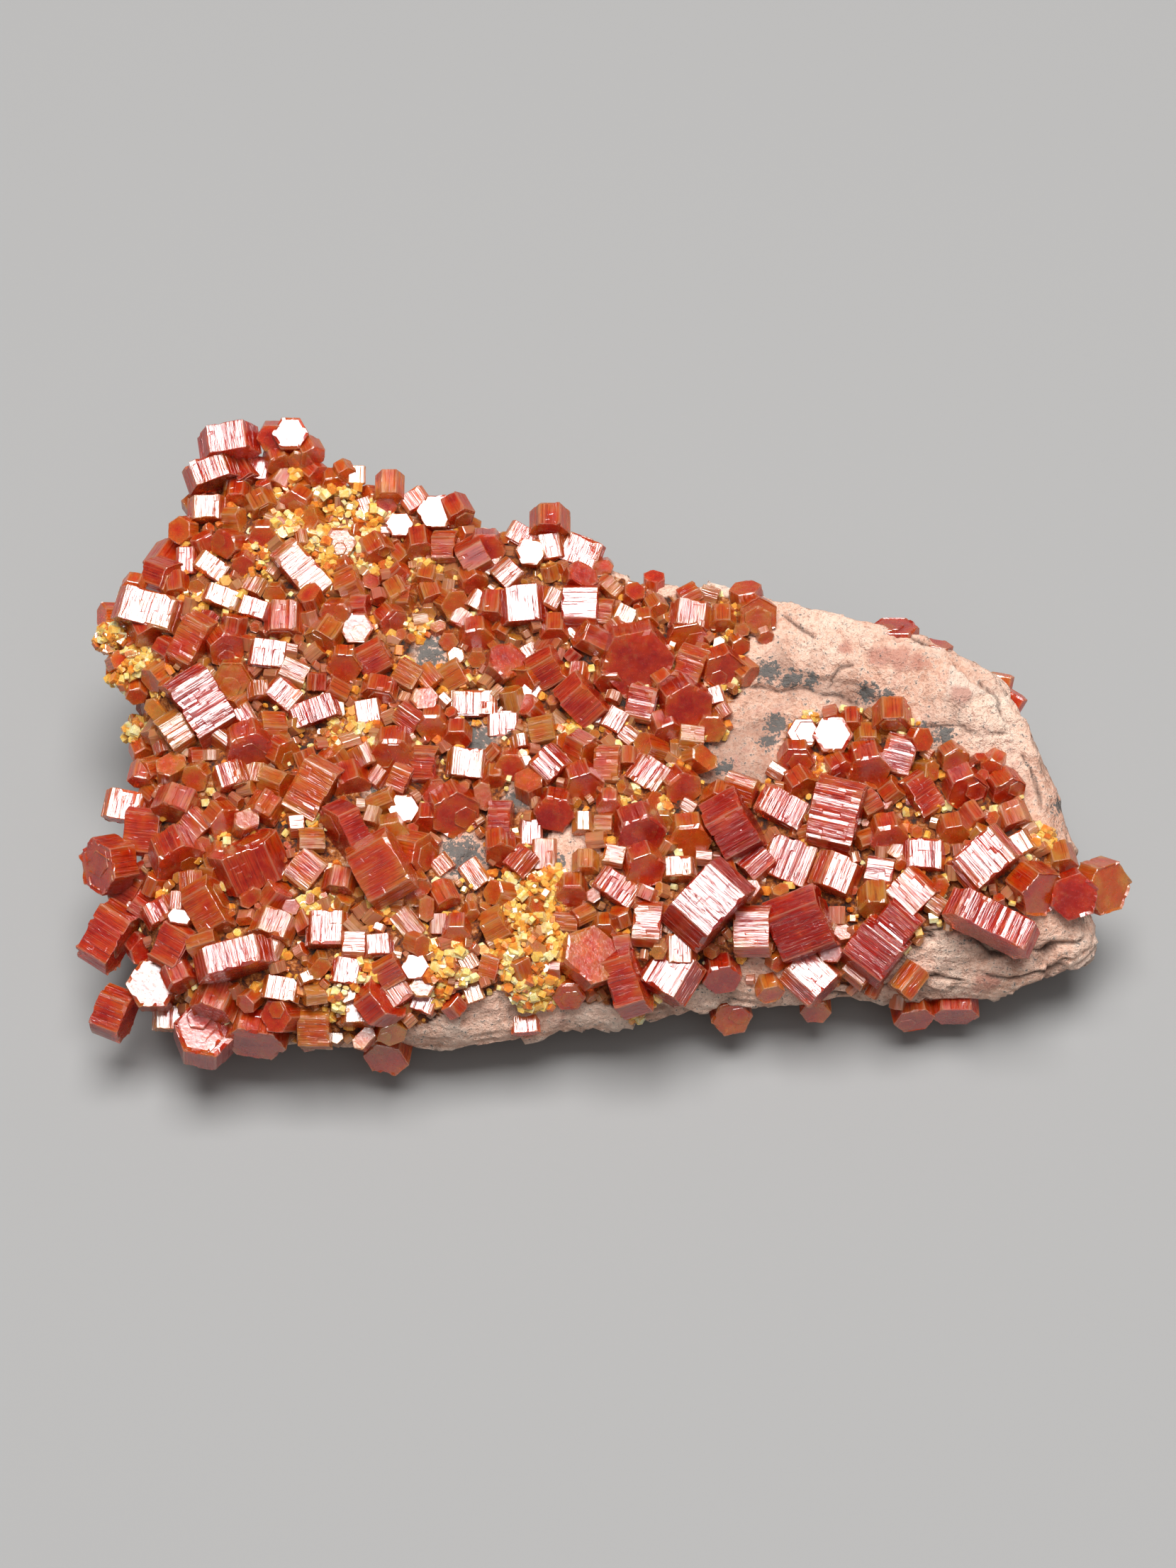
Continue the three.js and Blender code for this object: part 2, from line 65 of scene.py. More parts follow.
# ---- placed crystals ----
# (right, up, across, thick, turn, lean, broad, spin, lift), as the CAD model has them. An entry
# may leave out the last ones, which then have their usual values.
#   across  corner to corner          thick  length along the axis
#   turn    direction of the axis in the view, degrees anticlockwise from the right
#   lean    degrees that the axis comes forward out of the view
#   broad   share of the width taken by the face that looks at the viewer
#   spin    degrees turned about the axis
#   lift    how far the middle stands proud of its usual seat in the rock
USUAL_LAST = (0.5, 0, 0)  # broad, spin and lift
CRYSTALS = {
    "back_left": [
        (-35.2, 28.2, 6, 3, -80, 20, 0.6), (-36.8, 25.4, 5.5, 2.6, -70, 15, 0.6),
        (-29.2, 29, 3.6, 2, 90, 80), (-31, 29, 3, 2, -90, 70), (-32.3, 25.8, 3.4, 2.4, -100, 20, 0.75),
        (-37.1, 21.8, 4, 2.5, -90, 14, 0.6), (-32, 22.3, 3.2, 2.2, -60, 30),
        (-41, 16.9, 4.2, 3, -120, 35), (-27.8, 15.6, 6.8, 2.9, -140, 14, 0.78),
        (-24.3, 18.5, 3.3, 2, 90, 84), (-23.3, 14.5, 3.9, 2.4, 25, 10, 0.5, 30),
        (-28.6, 22.6, 3.4, 2, -120, 55),
    ],
    "back_crest": [
        (-15.2, 21.4, 3.8, 2.2, 90, 76), (-13.3, 21.7, 3.1, 2.4, -60, 30),
        (-20.9, 17.9, 3.5, 2.2, -60, 35), (-16.8, 18.5, 3.1, 2.6, -80, 40),
        (-14.3, 18.1, 3.4, 2.4, 0, 10, 0.6), (-10.5, 18, 4, 2.4, -90, 70),
        (-7, 19.2, 3.3, 2, -120, 20, 0.85), (-4.4, 20.5, 4, 2.6, -90, 28),
        (-4.3, 18, 3.2, 2.6, -80, 15, 0.6), (-1.5, 17.6, 4.3, 3, -110, 20, 0.82),
    ],
    "left_upper": [
        (-42.3, 12, 6.5, 3.4, -105, 14, 0.75), (-38, 9, 5.8, 2.8, -28, 14, 0.7),
        (-34.9, 8.6, 3.8, 2.2, -50, 55), (-34, 5.6, 3.9, 2.2, -90, 75),
        (-29.3, 11, 4, 3.2, -90, 25, 0.6), (-30.7, 7.8, 3.8, 2.7, -97, 18, 0.8),
        (-29.2, 4, 3.6, 2.4, -130, 18, 0.75), (-36.8, 2.9, 7.4, 4.3, -147, 12, 0.7),
        (-39.2, 0.4, 4.2, 2.6, -147, 14, 0.6), (-32.2, -0.9, 5, 2.8, -70, 55),
    ],
    "left_middle": [
        (-26.3, 2.3, 5, 2.4, -70, 20, 0.8), (-33.8, -3.7, 3.4, 2.4, -70, 20, 0.6),
        (-26.2, -5, 6.4, 3.6, -28, 14, 0.75), (-44, -6.5, 4.2, 2.9, -100, 15, 0.7),
        (-42.1, -8.8, 4.6, 3.4, -6, 12, 0.8), (-45.2, -11.8, 5.6, 3, -170, 45),
        (-43.5, -14.3, 4.2, 2.6, -27, 20, 0.65), (-38.7, -10.8, 5.2, 3, -60, 40),
        (-38.8, -6.4, 4.6, 2.6, -110, 30), (-31.8, -11.5, 7, 4, 112, 18, 0.6),
        (-35.4, -15.6, 5.6, 3, 30, 16, 0.65), (-30.6, -6.6, 3.4, 2.4, -120, 30),
        (-26.6, -12.2, 3.7, 2.9, -38, 12, 0.8),
    ],
    "left_lower": [
        (-45, -18.4, 6.5, 3.6, -30, 18, 0.7), (-38.7, -19.1, 4.5, 3, -28, 18, 0.75),
        (-32.8, -20.3, 7.5, 2.7, -75, 18, 0.65), (-34.7, -24.2, 4.4, 3, -110, 30),
        (-40.6, -22.9, 5, 2.6, 90, 76), (-44.3, -25.4, 5, 3, -20, 14, 0.6),
        (-38.8, -26, 4.4, 2.2, -90, 14, 0.75), (-35.8, -27.4, 6, 3.2, 80, 60),
        (-31, -26.8, 6, 3.4, -100, 35, 0.55), (-25.6, -26.6, 4.2, 3, 0, 8, 0.65, 15),
        (-29.4, -17.4, 4.2, 2.6, -110, 28, 0.6), (-24.5, -17.6, 4, 3.2, -90, 18, 0.7),
    ],
    "middle_upper": [
        (-22.5, 10.2, 3.3, 2.2, 90, 82), (-20.9, 7.4, 3.6, 3, 28, 10, 0.7, 10),
        (-23.6, 7, 3.6, 2.4, -90, 60), (-25.4, 9.6, 3.6, 2.6, -120, 40),
        (-13.7, 12.8, 3.2, 2.4, -30, 60), (-18.7, 13.6, 3.2, 2.4, -60, 40),
        (-19.4, 11.2, 3.2, 2, -45, 50), (-15.3, 1.4, 3.2, 2, -90, 55),
    ],
    "middle_crest": [
        (-6.9, 12.4, 4.6, 3.6, -85, 14, 0.65), (-1.4, 12.2, 5, 3.4, 0, 6, 0.62, -18),
        (-8.7, 6.8, 4, 2.8, 50, 62), (-4.5, 6.4, 4.2, 3, 30, 16, 0.6, 14),
        (-1.2, 3.4, 5.6, 3, 42, 12, 0.6, 12), (-3.9, 10.2, 3, 2.2, -90, 40),
    ],
    "middle_lower": [
        (-18.9, -1.3, 4.6, 3, -90, 60), (-15.9, -2.7, 4, 2.5, -3, 12, 0.6),
        (-12, -2.6, 4, 2.9, -95, 18, 0.7), (-4.4, -2.7, 3.8, 2.8, -45, 14, 0.6),
        (-1.3, -4.2, 4, 2.6, -70, 55), (-22.8, -4, 3.8, 2.6, -70, 40),
        (-22.7, -9.4, 7.6, 2.4, -154, 26, 0.6), (-19.5, -12, 6.6, 4.4, 30, 10, 0.7, -6, 1.6),
        (-16.7, -10.6, 4, 3, -10, 40), (-13.2, -6.7, 5, 3, -60, 62), (-8.8, -7.8, 4, 2.3, 0, 10, 0.6),
        (-3.8, -6.7, 4, 2.6, -100, 66), (-23.4, -13.4, 3.4, 2.2, -100, 30),
    ],
    "front_left": [
        (-18.7, -21.4, 3.2, 2.4, 30, 8, 0.7, 8), (-18, -23.4, 3.4, 2, -55, 12, 0.7),
        (-19.6, -24, 5, 2.4, 38, 30), (-18.8, -26.5, 3, 2.4, -70, 50),
        (-21.8, -25.2, 3, 2.2, -90, 18, 0.6), (-0.6, -20.2, 6, 2.6, 50, 66, 0.55),
        (-2.5, -23.3, 3.2, 2, -90, 60),
    ],
    "centre_upper": [
        (8.9, 11.3, 4.2, 2.8, -98, 24, 0.62), (8.6, 9.3, 4.6, 2.2, -80, 62, 0.5, 0, -0.8),
        (15.1, 11.6, 4, 2.4, -60, 74), (14.2, 13.4, 3.2, 2, 100, 30),
        (8.9, 6.7, 4, 2.8, -20, 12, 0.62, 12), (11.8, 6.6, 4.2, 2.6, -70, 62),
        (3.8, 7.4, 7.2, 3.6, -80, 70), (1.2, 5.8, 3, 2.4, -90, 45), (4.2, 3.1, 3.6, 2.7, -12, 12, 0.8),
        (8.2, 3.2, 5.2, 3.4, -60, 64), (6.5, 0.9, 3.4, 2.4, -70, 45),
    ],
    "centre_lower": [
        (1.1, -2.7, 4.1, 2.4, 0, 10, 0.65), (4.8, -3.5, 3.8, 3, -125, 16, 0.75),
        (7.8, -4.5, 3.8, 2.4, -50, 60), (3.9, -8.6, 5, 3, -70, 58), (8.5, -9.2, 4.4, 2.6, -85, 60),
        (4.3, -11.7, 4, 2.8, -70, 60), (7.5, -12.2, 3.6, 2, -88, 24, 0.65),
        (12.7, -8.2, 6.8, 3.9, 30, 10, 0.55, 10, 0.5), (17.2, -6.6, 5, 2.9, -118, 20, 0.82),
        (18.6, -1.9, 3.6, 2.4, -90, 62), (18.9, -4.3, 3.4, 2.2, -60, 40),
    ],
    "front_centre": [
        (1.9, -13.9, 4.4, 2.4, -125, 20, 0.82), (4.7, -17.1, 4.4, 2.6, -4, 8, 0.7, -10),
        (10.2, -15.3, 8.2, 4.6, -42, 10, 0.62, -8, 0.8), (7.6, -19.5, 3.4, 2.7, -90, 12, 0.6),
        (14.3, -17.8, 4.9, 3.4, 0, 8, 0.68, -10), (18.8, -17.2, 6.6, 5.2, 22, 14, 0.65, 12),
        (11.4, -21.5, 3.8, 2.6, -80, 50), (6.7, -21.8, 5.6, 4.2, -122, 14, 0.6, 14),
        (2.8, -22.1, 7.2, 2.9, 18, 12, 0.6), (19.8, -22.1, 4.8, 4, -43, 16, 0.6, -14),
        (24.4, -21.4, 3.4, 2.6, -40, 14, 0.65),
    ],
    "right_upper": [
        (19.3, 0.2, 3.2, 2, 90, 74), (22, 0, 3.9, 2.2, 90, 74), (27.6, 1.9, 3.9, 2.6, -90, 35),
        (28.2, -1.7, 4.2, 2.9, -15, 12, 0.75), (25.2, -2.6, 4.4, 3, -80, 55),
        (30.2, -5.4, 4.6, 2.8, -148, 22, 0.78), (34.2, -4.6, 4.2, 2.8, -70, 55),
        (22.6, -2.9, 3.2, 2.2, -60, 50),
    ],
    "right_middle": [
        (22.1, -7.2, 7, 4.5, -13, 12, 0.72, 0, 0.8), (17.7, -11.4, 5.2, 4, -112, 10, 0.8),
        (22.1, -12.7, 4.6, 3.4, -112, 12, 0.6), (26.9, -8.9, 3.8, 2.6, -80, 55),
        (30.2, -11, 4, 3, -92, 22, 0.75), (28.9, -14.4, 4.4, 3.6, -45, 16, 0.7),
        (27.6, -17.2, 4.2, 3.6, -40, 12, 0.6, 12), (25.6, -19.6, 5.6, 4.6, -38, 10, 0.6, 10),
        (25.6, -15, 3.4, 2.6, -90, 40), (33, -8.6, 3.2, 2.2, -80, 50),
    ],
    "far_edge": [
        (14.4, 12.9, 3.2, 2.2, 100, 30, 0.5, 0, -1.6), (28.2, 9.4, 4.6, 2.8, 90, 24, 0.5, 0, -3),
    ],
    "under_front": [
        (-19.2, -28.8, 4.4, 3, -100, 45, 0.5, 0, -2.2), (12.5, -25.6, 4, 2.4, -80, 60, 0.5, 0, -2.4),
        (29.4, -25.4, 4, 2.6, -80, 40, 0.55, 0, -2), (33.4, -25, 4.6, 2.4, -90, 30, 0.6, 0, -2.4),
    ],
    "right_end": [
        (35.6, -11.3, 6.2, 4, -50, 14, 0.72, 0, 0.6), (36, -17, 9, 3.1, -117, 20, 0.78, 0, 0.6),
        (40.2, -13.9, 5, 3, -40, 50), (43.8, -14.5, 4.8, 2.4, -70, 76, 0.5, 0, 1.4),
        (47, -13.8, 5.4, 2.8, -20, 55),
    ],
}

# Smaller crystals between them, placed in the same way; the CAD model leaves them out.
SMALL_CRYSTALS = {
    "back_left": [
        (-34.5, 23.8, 2.6, 2.3, -90, 10, 0.75), (-38.9, 16.9, 2, 2.6, -90, 8, 0.7),
        (-30.3, 13.6, 2.4, 1.6, -90, 70), (-24.1, 25.6, 2.1, 1.6, -60, 40),
        (-22.9, 25.2, 1.8, 1.8, -90, 15, 0.8), (-22.3, 22.1, 2.1, 1.7, -70, 14, 0.8),
        (-27.4, 27.5, 2.8, 2, -60, 40), (-39.3, 19.8, 2.8, 1.8, 180, 65), (-31.6, 19.3, 3, 2, -90, 65),
        (-36.4, 16.2, 3.5, 1.9, -125, 14, 0.8),
    ],
    "back_crest": [
        (-20.1, 22.3, 2.4, 1.8, -90, 75), (-17.3, 22.8, 2.7, 1.8, -55, 14, 0.8),
        (-18.7, 20.1, 2.7, 1.8, 90, 72), (-18.6, 17.4, 2.1, 1.8, -45, 30, 0.6),
        (-10.2, 16.8, 2.7, 1.9, -35, 12, 0.8), (-19.7, 24, 2.9, 2.6, -90, 25),
    ],
    "left_upper": [
        (-33, 2, 2.3, 1.9, -60, 12, 0.8), (-46.2, 11.6, 2.8, 2, 180, 30),
        (-35.2, 13.2, 4, 1.9, -110, 14, 0.75), (-32.3, 12.2, 2.9, 1.9, -107, 14, 0.8),
        (-42, 7.6, 3.4, 2, -150, 50), (-42.2, 3.2, 3.2, 2.2, 170, 45),
    ],
    "left_middle": [
        (-41.7, -0.2, 2.6, 2, 170, 30), (-41.6, -3, 2.6, 2, -160, 40), (-34.6, -7.6, 3.6, 2.2, -40, 45),
    ],
    "left_lower": [
        (-28.6, -23, 3.6, 2.2, -100, 14, 0.75), (-40, -16.2, 3.5, 2.2, -60, 20, 0.6),
    ],
    "middle_upper": [
        (-19.3, 8.9, 1.6, 1.6, 60, 10, 0.8), (-15.9, 12, 1.7, 1.6, -90, 65),
        (-15.6, 13.8, 2.6, 2, -70, 30, 0.6), (-16.2, 15.4, 2.6, 1.8, -100, 35, 0.6),
        (-17.7, 5.9, 2.8, 2.6, -30, 16, 0.75), (-13.5, 5.7, 3, 2.6, 30, 14, 0.75),
        (-21.3, 2.3, 2.8, 2.4, -80, 14, 0.75), (-17.5, 1.7, 2.8, 2.6, -35, 14, 0.6, 15),
        (-20.3, 4.4, 3.6, 2, -100, 40, 0.6), (-11.8, 15, 3, 2.2, -60, 45),
    ],
    "middle_crest": [
        (-11, 12.8, 2.6, 1.9, -120, 16, 0.7), (-12.8, 11.2, 2.6, 1.8, -120, 22, 0.7),
        (-11.2, 7.6, 1.9, 1.6, -90, 70), (-13.9, 9.2, 2, 1.7, -90, 75),
        (-6.3, 8.2, 1.7, 1.3, -60, 14, 0.8), (-4.5, 8.9, 2.2, 2.2, 55, 12, 0.8),
        (-6.1, 4.3, 2.1, 1.6, 90, 72), (-9.9, 12.4, 2.8, 2.6, -95, 30), (-11.3, 9.7, 3.6, 2.4, -80, 50),
        (-4.9, 0.6, 3, 2.4, 12, 12, 0.6), (-11.5, 3.2, 4.6, 2.4, -90, 20, 0.88),
        (-8.7, 1.2, 3, 2.3, -90, 10, 0.85),
    ],
    "middle_lower": [
        (-9.4, -3.6, 2.3, 1.7, -90, 45), (-24.3, -7.1, 2.1, 1.4, 90, 76),
        (-6, -8.8, 2.2, 2.4, -90, 12, 0.8), (-11.2, -12.6, 2.2, 2.8, -55, 12, 0.75),
        (-14.2, -11.8, 2.2, 1.8, -50, 14, 0.7), (-4.8, -10.8, 2.4, 2.9, -90, 10, 0.75),
        (-1.2, -8, 2.2, 2, -90, 25), (-17.8, -6.8, 3, 1.8, 90, 76), (-15.6, -7.6, 2.8, 2.2, -90, 50),
    ],
    "front_left": [
        (-17.2, -17.2, 2.4, 3, -50, 10, 0.75), (-14.4, -17.1, 1.7, 1.9, -90, 10, 0.8),
        (-16.4, -21.1, 2.6, 1.8, 90, 74), (-15.8, -22.8, 2.4, 1.8, 90, 78),
        (-15.8, -24.3, 2.5, 1.6, -110, 14, 0.8), (-9.7, -21, 2.6, 1.8, -15, 14, 0.75),
        (-11.6, -20.6, 1.9, 1.4, -60, 12, 0.8), (-11.3, -23, 1.9, 2.4, -70, 14, 0.8),
        (-2.9, -17, 2, 2.6, -5, 12, 0.7), (-14, -14.6, 2.8, 2.4, -60, 30),
        (-12.7, -17.6, 2.8, 2.2, -90, 55), (-2.2, -14, 3.2, 2.2, -90, 50),
        (-22.6, -21.4, 3, 2.4, -100, 16, 0.7),
    ],
    "centre_upper": [
        (2.7, 11.5, 2.6, 1.8, -115, 16, 0.7), (5.6, 12.4, 2.4, 1.8, -60, 45),
        (15.8, 9.8, 1.7, 1.4, -70, 50), (13.4, 8.8, 2, 1.6, -60, 60), (11, 3.9, 2, 1.7, -75, 18, 0.8),
        (1.7, 1.6, 2.6, 2.2, -120, 12, 0.7), (4.6, 11, 2.6, 1.8, -80, 50),
        (13.9, 6.2, 2.6, 1.8, -40, 30), (11.9, 11.2, 2.8, 2, -90, 35),
    ],
    "centre_lower": [
        (3, 0.1, 2, 1.7, -40, 12, 0.7), (2.9, -2, 2.2, 1.9, -90, 30),
        (8.4, -6.6, 1.9, 1.4, -30, 12, 0.8), (1.2, -6.1, 2.6, 2, -90, 55),
        (0.7, -8, 2, 1.7, 0, 12, 0.7, -14), (1.7, -10.9, 2.4, 2, -10, 12, 0.7, -14),
        (6.2, -7.6, 2, 1.5, -90, 60), (-1, -11.6, 2.6, 2, -90, 30),
    ],
    "front_centre": [
        (0.7, -17.4, 2.4, 2, -90, 55),
    ],
    "right_upper": [
        (23.8, 1.6, 2.3, 2, -90, 40), (25.3, 0.2, 2.6, 2, -90, 40, 0.6), (37, -2.4, 2.4, 2, -120, 50),
        (33.2, -1.9, 3, 2, -60, 60), (38, -4.6, 3.6, 2.4, -60, 50),
    ],
    "right_middle": [
        (27.9, -10.4, 2, 1.8, -120, 12, 0.8), (26.1, -12.4, 2.8, 2.6, -8, 12, 0.7, -12),
    ],
    "right_end": [
        (38.6, -7.4, 3.2, 2.4, -70, 30, 0.6), (39.2, -10, 2.8, 2.2, -60, 20, 0.6),
        (42.9, -11.3, 3.2, 2.4, -80, 40),
    ],
    "far_edge": [
        (32, 7.9, 3, 2.2, 80, 20, 0.5, 0, -2.6), (38.2, 5.1, 2.6, 2, 80, 16, 0.7, 0, -2.8),
        (39.1, 3.4, 2.6, 2, 60, 16, 0.7, 0, -2.6),
    ],
    "between": [
        (-13, 0.2, 3, 2, -90, 50), (-8, -2.5, 3, 2.2, -90, 70), (-19.8, -19.1, 3, 2, -85, 20, 0.65),
        (0.8, 11.7, 3, 1.8, -5, 12, 0.6), (1.3, 14.1, 3, 1.5, -135, 20, 0.6),
        (10.7, 1, 3, 1.8, -90, 72), (6.3, 5.4, 3, 2.2, -50, 40),
    ],
    "left_edge": [
        (-44.3, 9.2, 2.6, 2, -60, 30), (-42.4, 8.7, 2.4, 2, -100, 40), (-40.4, 8.3, 2.6, 2, -30, 30),
        (-41.2, 5.9, 2.8, 2.2, -140, 35), (-43.4, 4.4, 2.2, 1.8, -80, 50), (-42, 2.8, 2.6, 2, -70, 30),
        (-45.2, 7.2, 2.2, 1.8, 20, 60), (-41.4, 0.6, 2.8, 2.2, -120, 30),
        (-43.2, -1.2, 2.4, 2, -60, 45), (-42.4, -3.4, 2.6, 2, -100, 30),
        (-41.2, -5.4, 2.8, 2.2, -40, 40), (-39.8, 14.4, 2.8, 2.2, -80, 30),
        (-43.8, 14.4, 2.4, 1.8, -100, 55), (-41, 15.2, 4, 3.2, -20, 40),
        (-42.6, 10.4, 3.2, 2.6, -60, 30),
    ],
    "left_peak": [
        (-30.4, 26.9, 3, 2.4, -70, 40), (-28.2, 27, 2.8, 2.2, -100, 50), (-33.8, 25.4, 3, 2.4, -60, 30),
        (-27.2, 25.6, 2.6, 2.2, -40, 35), (-30, 24.8, 3, 2.4, -120, 25),
        (-34.4, 23.4, 2.8, 2.2, -90, 40), (-25.2, 24.6, 2.6, 2, -80, 50),
    ],
    "under_front": [
        (-6.5, -26.4, 2.8, 1.8, -85, 20, 0.75, 0, -0.6), (20.4, -25, 3, 2, -90, 50, 0.5, 0, -2.2),
    ],
}

# Crystals on the back wall, as seen from behind, and on the left wall, as seen from the left.
BACK_CRYSTALS = [
    (-36, -5.5, 3.6, 2.4, -70, 55), (-31.5, -4.5, 4.4, 2.8, -120, 30, 0.6),
    (-27.6, -2.6, 4.6, 2.8, -95, 25, 0.55), (-14.4, -6.5, 3.8, 2.4, -60, 40),
    (8, -9.5, 4.2, 2.6, -80, 60), (21, -8.5, 4.8, 2.8, -40, 45), (25.5, -11, 4, 2.6, -110, 30, 0.6),
    (31, -6.5, 4.6, 3, -75, 40), (34.5, -10.5, 3.6, 2.4, -30, 55),
]
LEFT_CRYSTALS = [
    (-16, 2.5, 4.2, 2.8, -60, 45), (-12.5, -1.5, 3.4, 2.4, -110, 50), (-4, 1, 3.8, 2.4, 20, 40, 0.55),
    (3.5, 2.2, 4, 2.6, -140, 30, 0.6), (20, -4, 3.8, 2.4, -70, 40),
]

# ---- zones of the upper side, in the display view ----
# Where small crystals crowd between the placed ones.
CRUST = [
    (-40, 29.5), (-28, 29.5), (-22, 25.5), (-15.5, 22.5), (-9.5, 18.5), (-5, 20.5), (0.5, 18),
    (1.5, 15.5), (6, 13.5), (11, 13.8), (13.5, 13), (14.5, 9), (13.5, 4.5), (10.5, 0.5), (9.5, -4),
    (13.5, -4.6), (17, -3), (17.8, 1), (23, 2.6), (29.5, 3), (31, -1), (35, -1.8), (38.5, -2.6),
    (40, -7), (42, -9.5), (44, -11), (43, -15.5), (38, -16.5), (36, -19), (31, -17), (28, -20.5),
    (25, -22.5), (20, -23.5), (16, -20.5), (13, -20.5), (9, -23), (5, -25), (2, -25), (-4, -23.3),
    (-8, -22.5), (-12, -24.5), (-16, -26), (-20, -27.5), (-30, -29), (-44, -28), (-46, -18), (-44, -8),
    (-43, -1), (-46, 4), (-46, 12), (-43, 14), (-41, 22),
]
# Patches inside the crust where the rock shows: (right, up, radius).
OPENINGS = [
    (-15.8, 7.9, 2), (-11, -0.3, 2), (-7, -5.5, 1.4), (-12.4, -10.8, 2.6), (-4.5, -13, 1.8),
    (-2.4, -10.4, 2.6), (-10.8, 20.2, 1.6), (-8.6, 5.2, 1.2), (-20.6, -5.2, 1.2),
]
# Honey-yellow grains: (right, up, radius, share of the grains).
HONEY = [
    (-6, -14.5, 3.4, 5), (-6, -18.5, 4, 7), (-5.5, -22, 3, 4), (-13.5, -21.5, 3, 3),
    (-22.5, -23, 3.4, 3), (-22.5, 0.5, 2.6, 3), (-17, 10.5, 1.6, 1), (-24.5, 22.5, 3.2, 5),
    (-25.5, 18.8, 3, 4), (-29, 20, 2.8, 3), (-28.8, 24.4, 2.4, 3), (-21.2, 20.6, 2.2, 2),
    (-21.6, 17.4, 2.2, 2), (-32, 16.8, 2.2, 2), (-38, 13.2, 1.6, 1.4), (-34.6, 13.6, 1.6, 1),
    (-16.4, 15.6, 1.4, 0.8), (-43.6, 6.5, 3.4, 5), (-46, 9.5, 1.8, 2), (-43.5, 0.5, 2, 2),
    (7.8, -2.4, 0.9, 0.5), (6.3, -6.4, 0.8, 0.5), (20.6, -2.8, 1.2, 0.5), (19.8, 1.8, 0.7, 0.3),
    (11.8, 0.7, 0.7, 0.3), (41, -9.5, 1.4, 0.7), (13.5, -17.2, 0.9, 0.4), (3.5, -24.5, 1.6, 0.8),
    (28.5, -14.5, 0.8, 0.3), (-11, 4.8, 1.4, 0.6), (-25.5, -15.4, 1.6, 1), (-2.5, 0.9, 1.2, 0.5),
    (3.2, -5.6, 1.2, 0.5), (-19.6, -15.8, 1.6, 1),
]
# Where the crystals are paler, amber and orange: (right, up, radius).
PALE = [
    (-26, -25.5, 7), (-26, 19, 9), (-42, 1, 6.5), (-8, -17, 7), (-20, -14, 4), (-14, 12, 5),
    (10, -2, 4), (32, -8, 3),
]
# Where they are deep red: (right, up, radius).
DEEP = [(44, -12.5, 6), (-42, -18, 9), (21, -14, 9), (-31, 28, 5), (-40, 16, 5), (0, 8, 6)]
# Blue-black films of manganese oxide on the rock: (right, up, radius).
FILMS = [
    (16.2, 6.2, 1.6), (18.2, 5.6, 1.5), (20, 5.2, 1.1), (17, 1.4, 1.6), (16.2, -0.3, 1.3),
    (25.3, 4.2, 1.5), (27.2, 3.6, 1.1), (12, -2.5, 1.1), (14.2, -4.6, 1.2), (30.4, 0.6, 1.6),
    (32.4, 0.2, 1.4), (43.6, -6.4, 1.4), (-15.8, 7.9, 2.4), (-11, -0.3, 2.6), (-7, -5.5, 2),
    (-12.4, -10.8, 3), (-4.5, -13, 2.4), (-16, -12, 1.6), (-3.6, -11.8, 1.4), (-1.2, -12.4, 1.2),
    (10, -0.4, 1), (-8.6, 5.2, 1.6), (-20.6, -5.2, 1.6),
]
# Red-brown stains: (right, up, radius).
RUST = [
    (26.4, 7.6, 1.6), (28.6, 7.3, 1.7), (30.4, 6.9, 1.4), (23.6, 8.6, 1), (34, 4, 1.2),
    (36, -22.6, 1.5),
]
# Cracks and the foot of the ledge, as lines of places: sunk, and painted dark as shadow.
CRACKS = [
    [(14.5, 4.9), (17, 4.4), (19, 4.6), (22, 4), (24.6, 3.1)],
    [(22, 4.9), (22.2, 5.7), (22.9, 6.5), (24, 6.9)],
    [(30.6, 1.3), (33, 1), (36, 0.2), (38.4, 0.5)],
    [(17.6, 11.6), (19, 10.6), (20.4, 9.3)],
    [(29.5, 10), (31, 8.8), (33, 8.4)],
    [(36, 5.4), (37.6, 3.2), (38.2, 1.2)],
    [(39.5, -1.5), (41, -4), (41.4, -6.5)],
    [(30.5, -17.8), (33, -17.4), (36.5, -20.4), (41, -19.8), (45, -18.6)],
    [(36, -21.8), (39, -22.6), (43, -21.4)],
    [(20, -24.2), (25, -23.6), (30, -22), (34, -22.8)],
]
# Hollows under the ledge, sunk and painted dark as shade: (right, up, radius).
HOLLOWS = [(33, -17.6, 1.2), (36.6, -18.6, 1), (42, -19.7, 1.1), (30.6, -18.4, 0.9), (38.8, -20.4, 0.9)]

# Zones of the left and back walls with crystals, seen from those sides.
LEFT_WALL = [(-24, -3), (-12, -8), (8, -9), (24, -7), (25, 5), (10, 3), (-10, 7), (-25, 9)]
BACK_WALL = [(8, -8), (20, -11), (34, -9), (40, -2), (38, 8), (24, 7), (12, 3)]
# Tries and sizes for the crystals that fill the gaps, from large to small.
GAP_ROUNDS = [(1500, (2.5, 3.4)), (2000, (1.8, 2.5)), (2400, (1.2, 1.8)), (2400, (0.8, 1.2))]
LEFT_TRIES = 4  # the left wall has this many times fewer tries
BACK_TRIES = 5

rng = np.random.default_rng(SEED)
noise.seed_set(SEED)  # noise_vector starts at random without it


def view(azimuth, height):
    """Columns: right, up and towards the viewer, for a view from azimuth and height in degrees."""
    a = math.radians(azimuth)
    h = math.radians(height)
    right = (math.cos(a), math.sin(a), 0)
    up = (-math.sin(a) * math.sin(h), math.cos(a) * math.sin(h), math.cos(h))
    towards = (math.sin(a) * math.cos(h), -math.cos(a) * math.cos(h), math.sin(h))
    return Matrix((right, up, towards)).transposed()


DISPLAY = view(0, DISPLAY_TILT)
BEHIND = view(180, SIDE_TILT)
LEFT_SIDE = view(270, SIDE_TILT)


def node_millimetres(name):
    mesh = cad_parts[name].data
    corners = [vertex.co / MM for vertex in mesh.vertices]
    return corners, [tuple(polygon.vertices) for polygon in mesh.polygons]


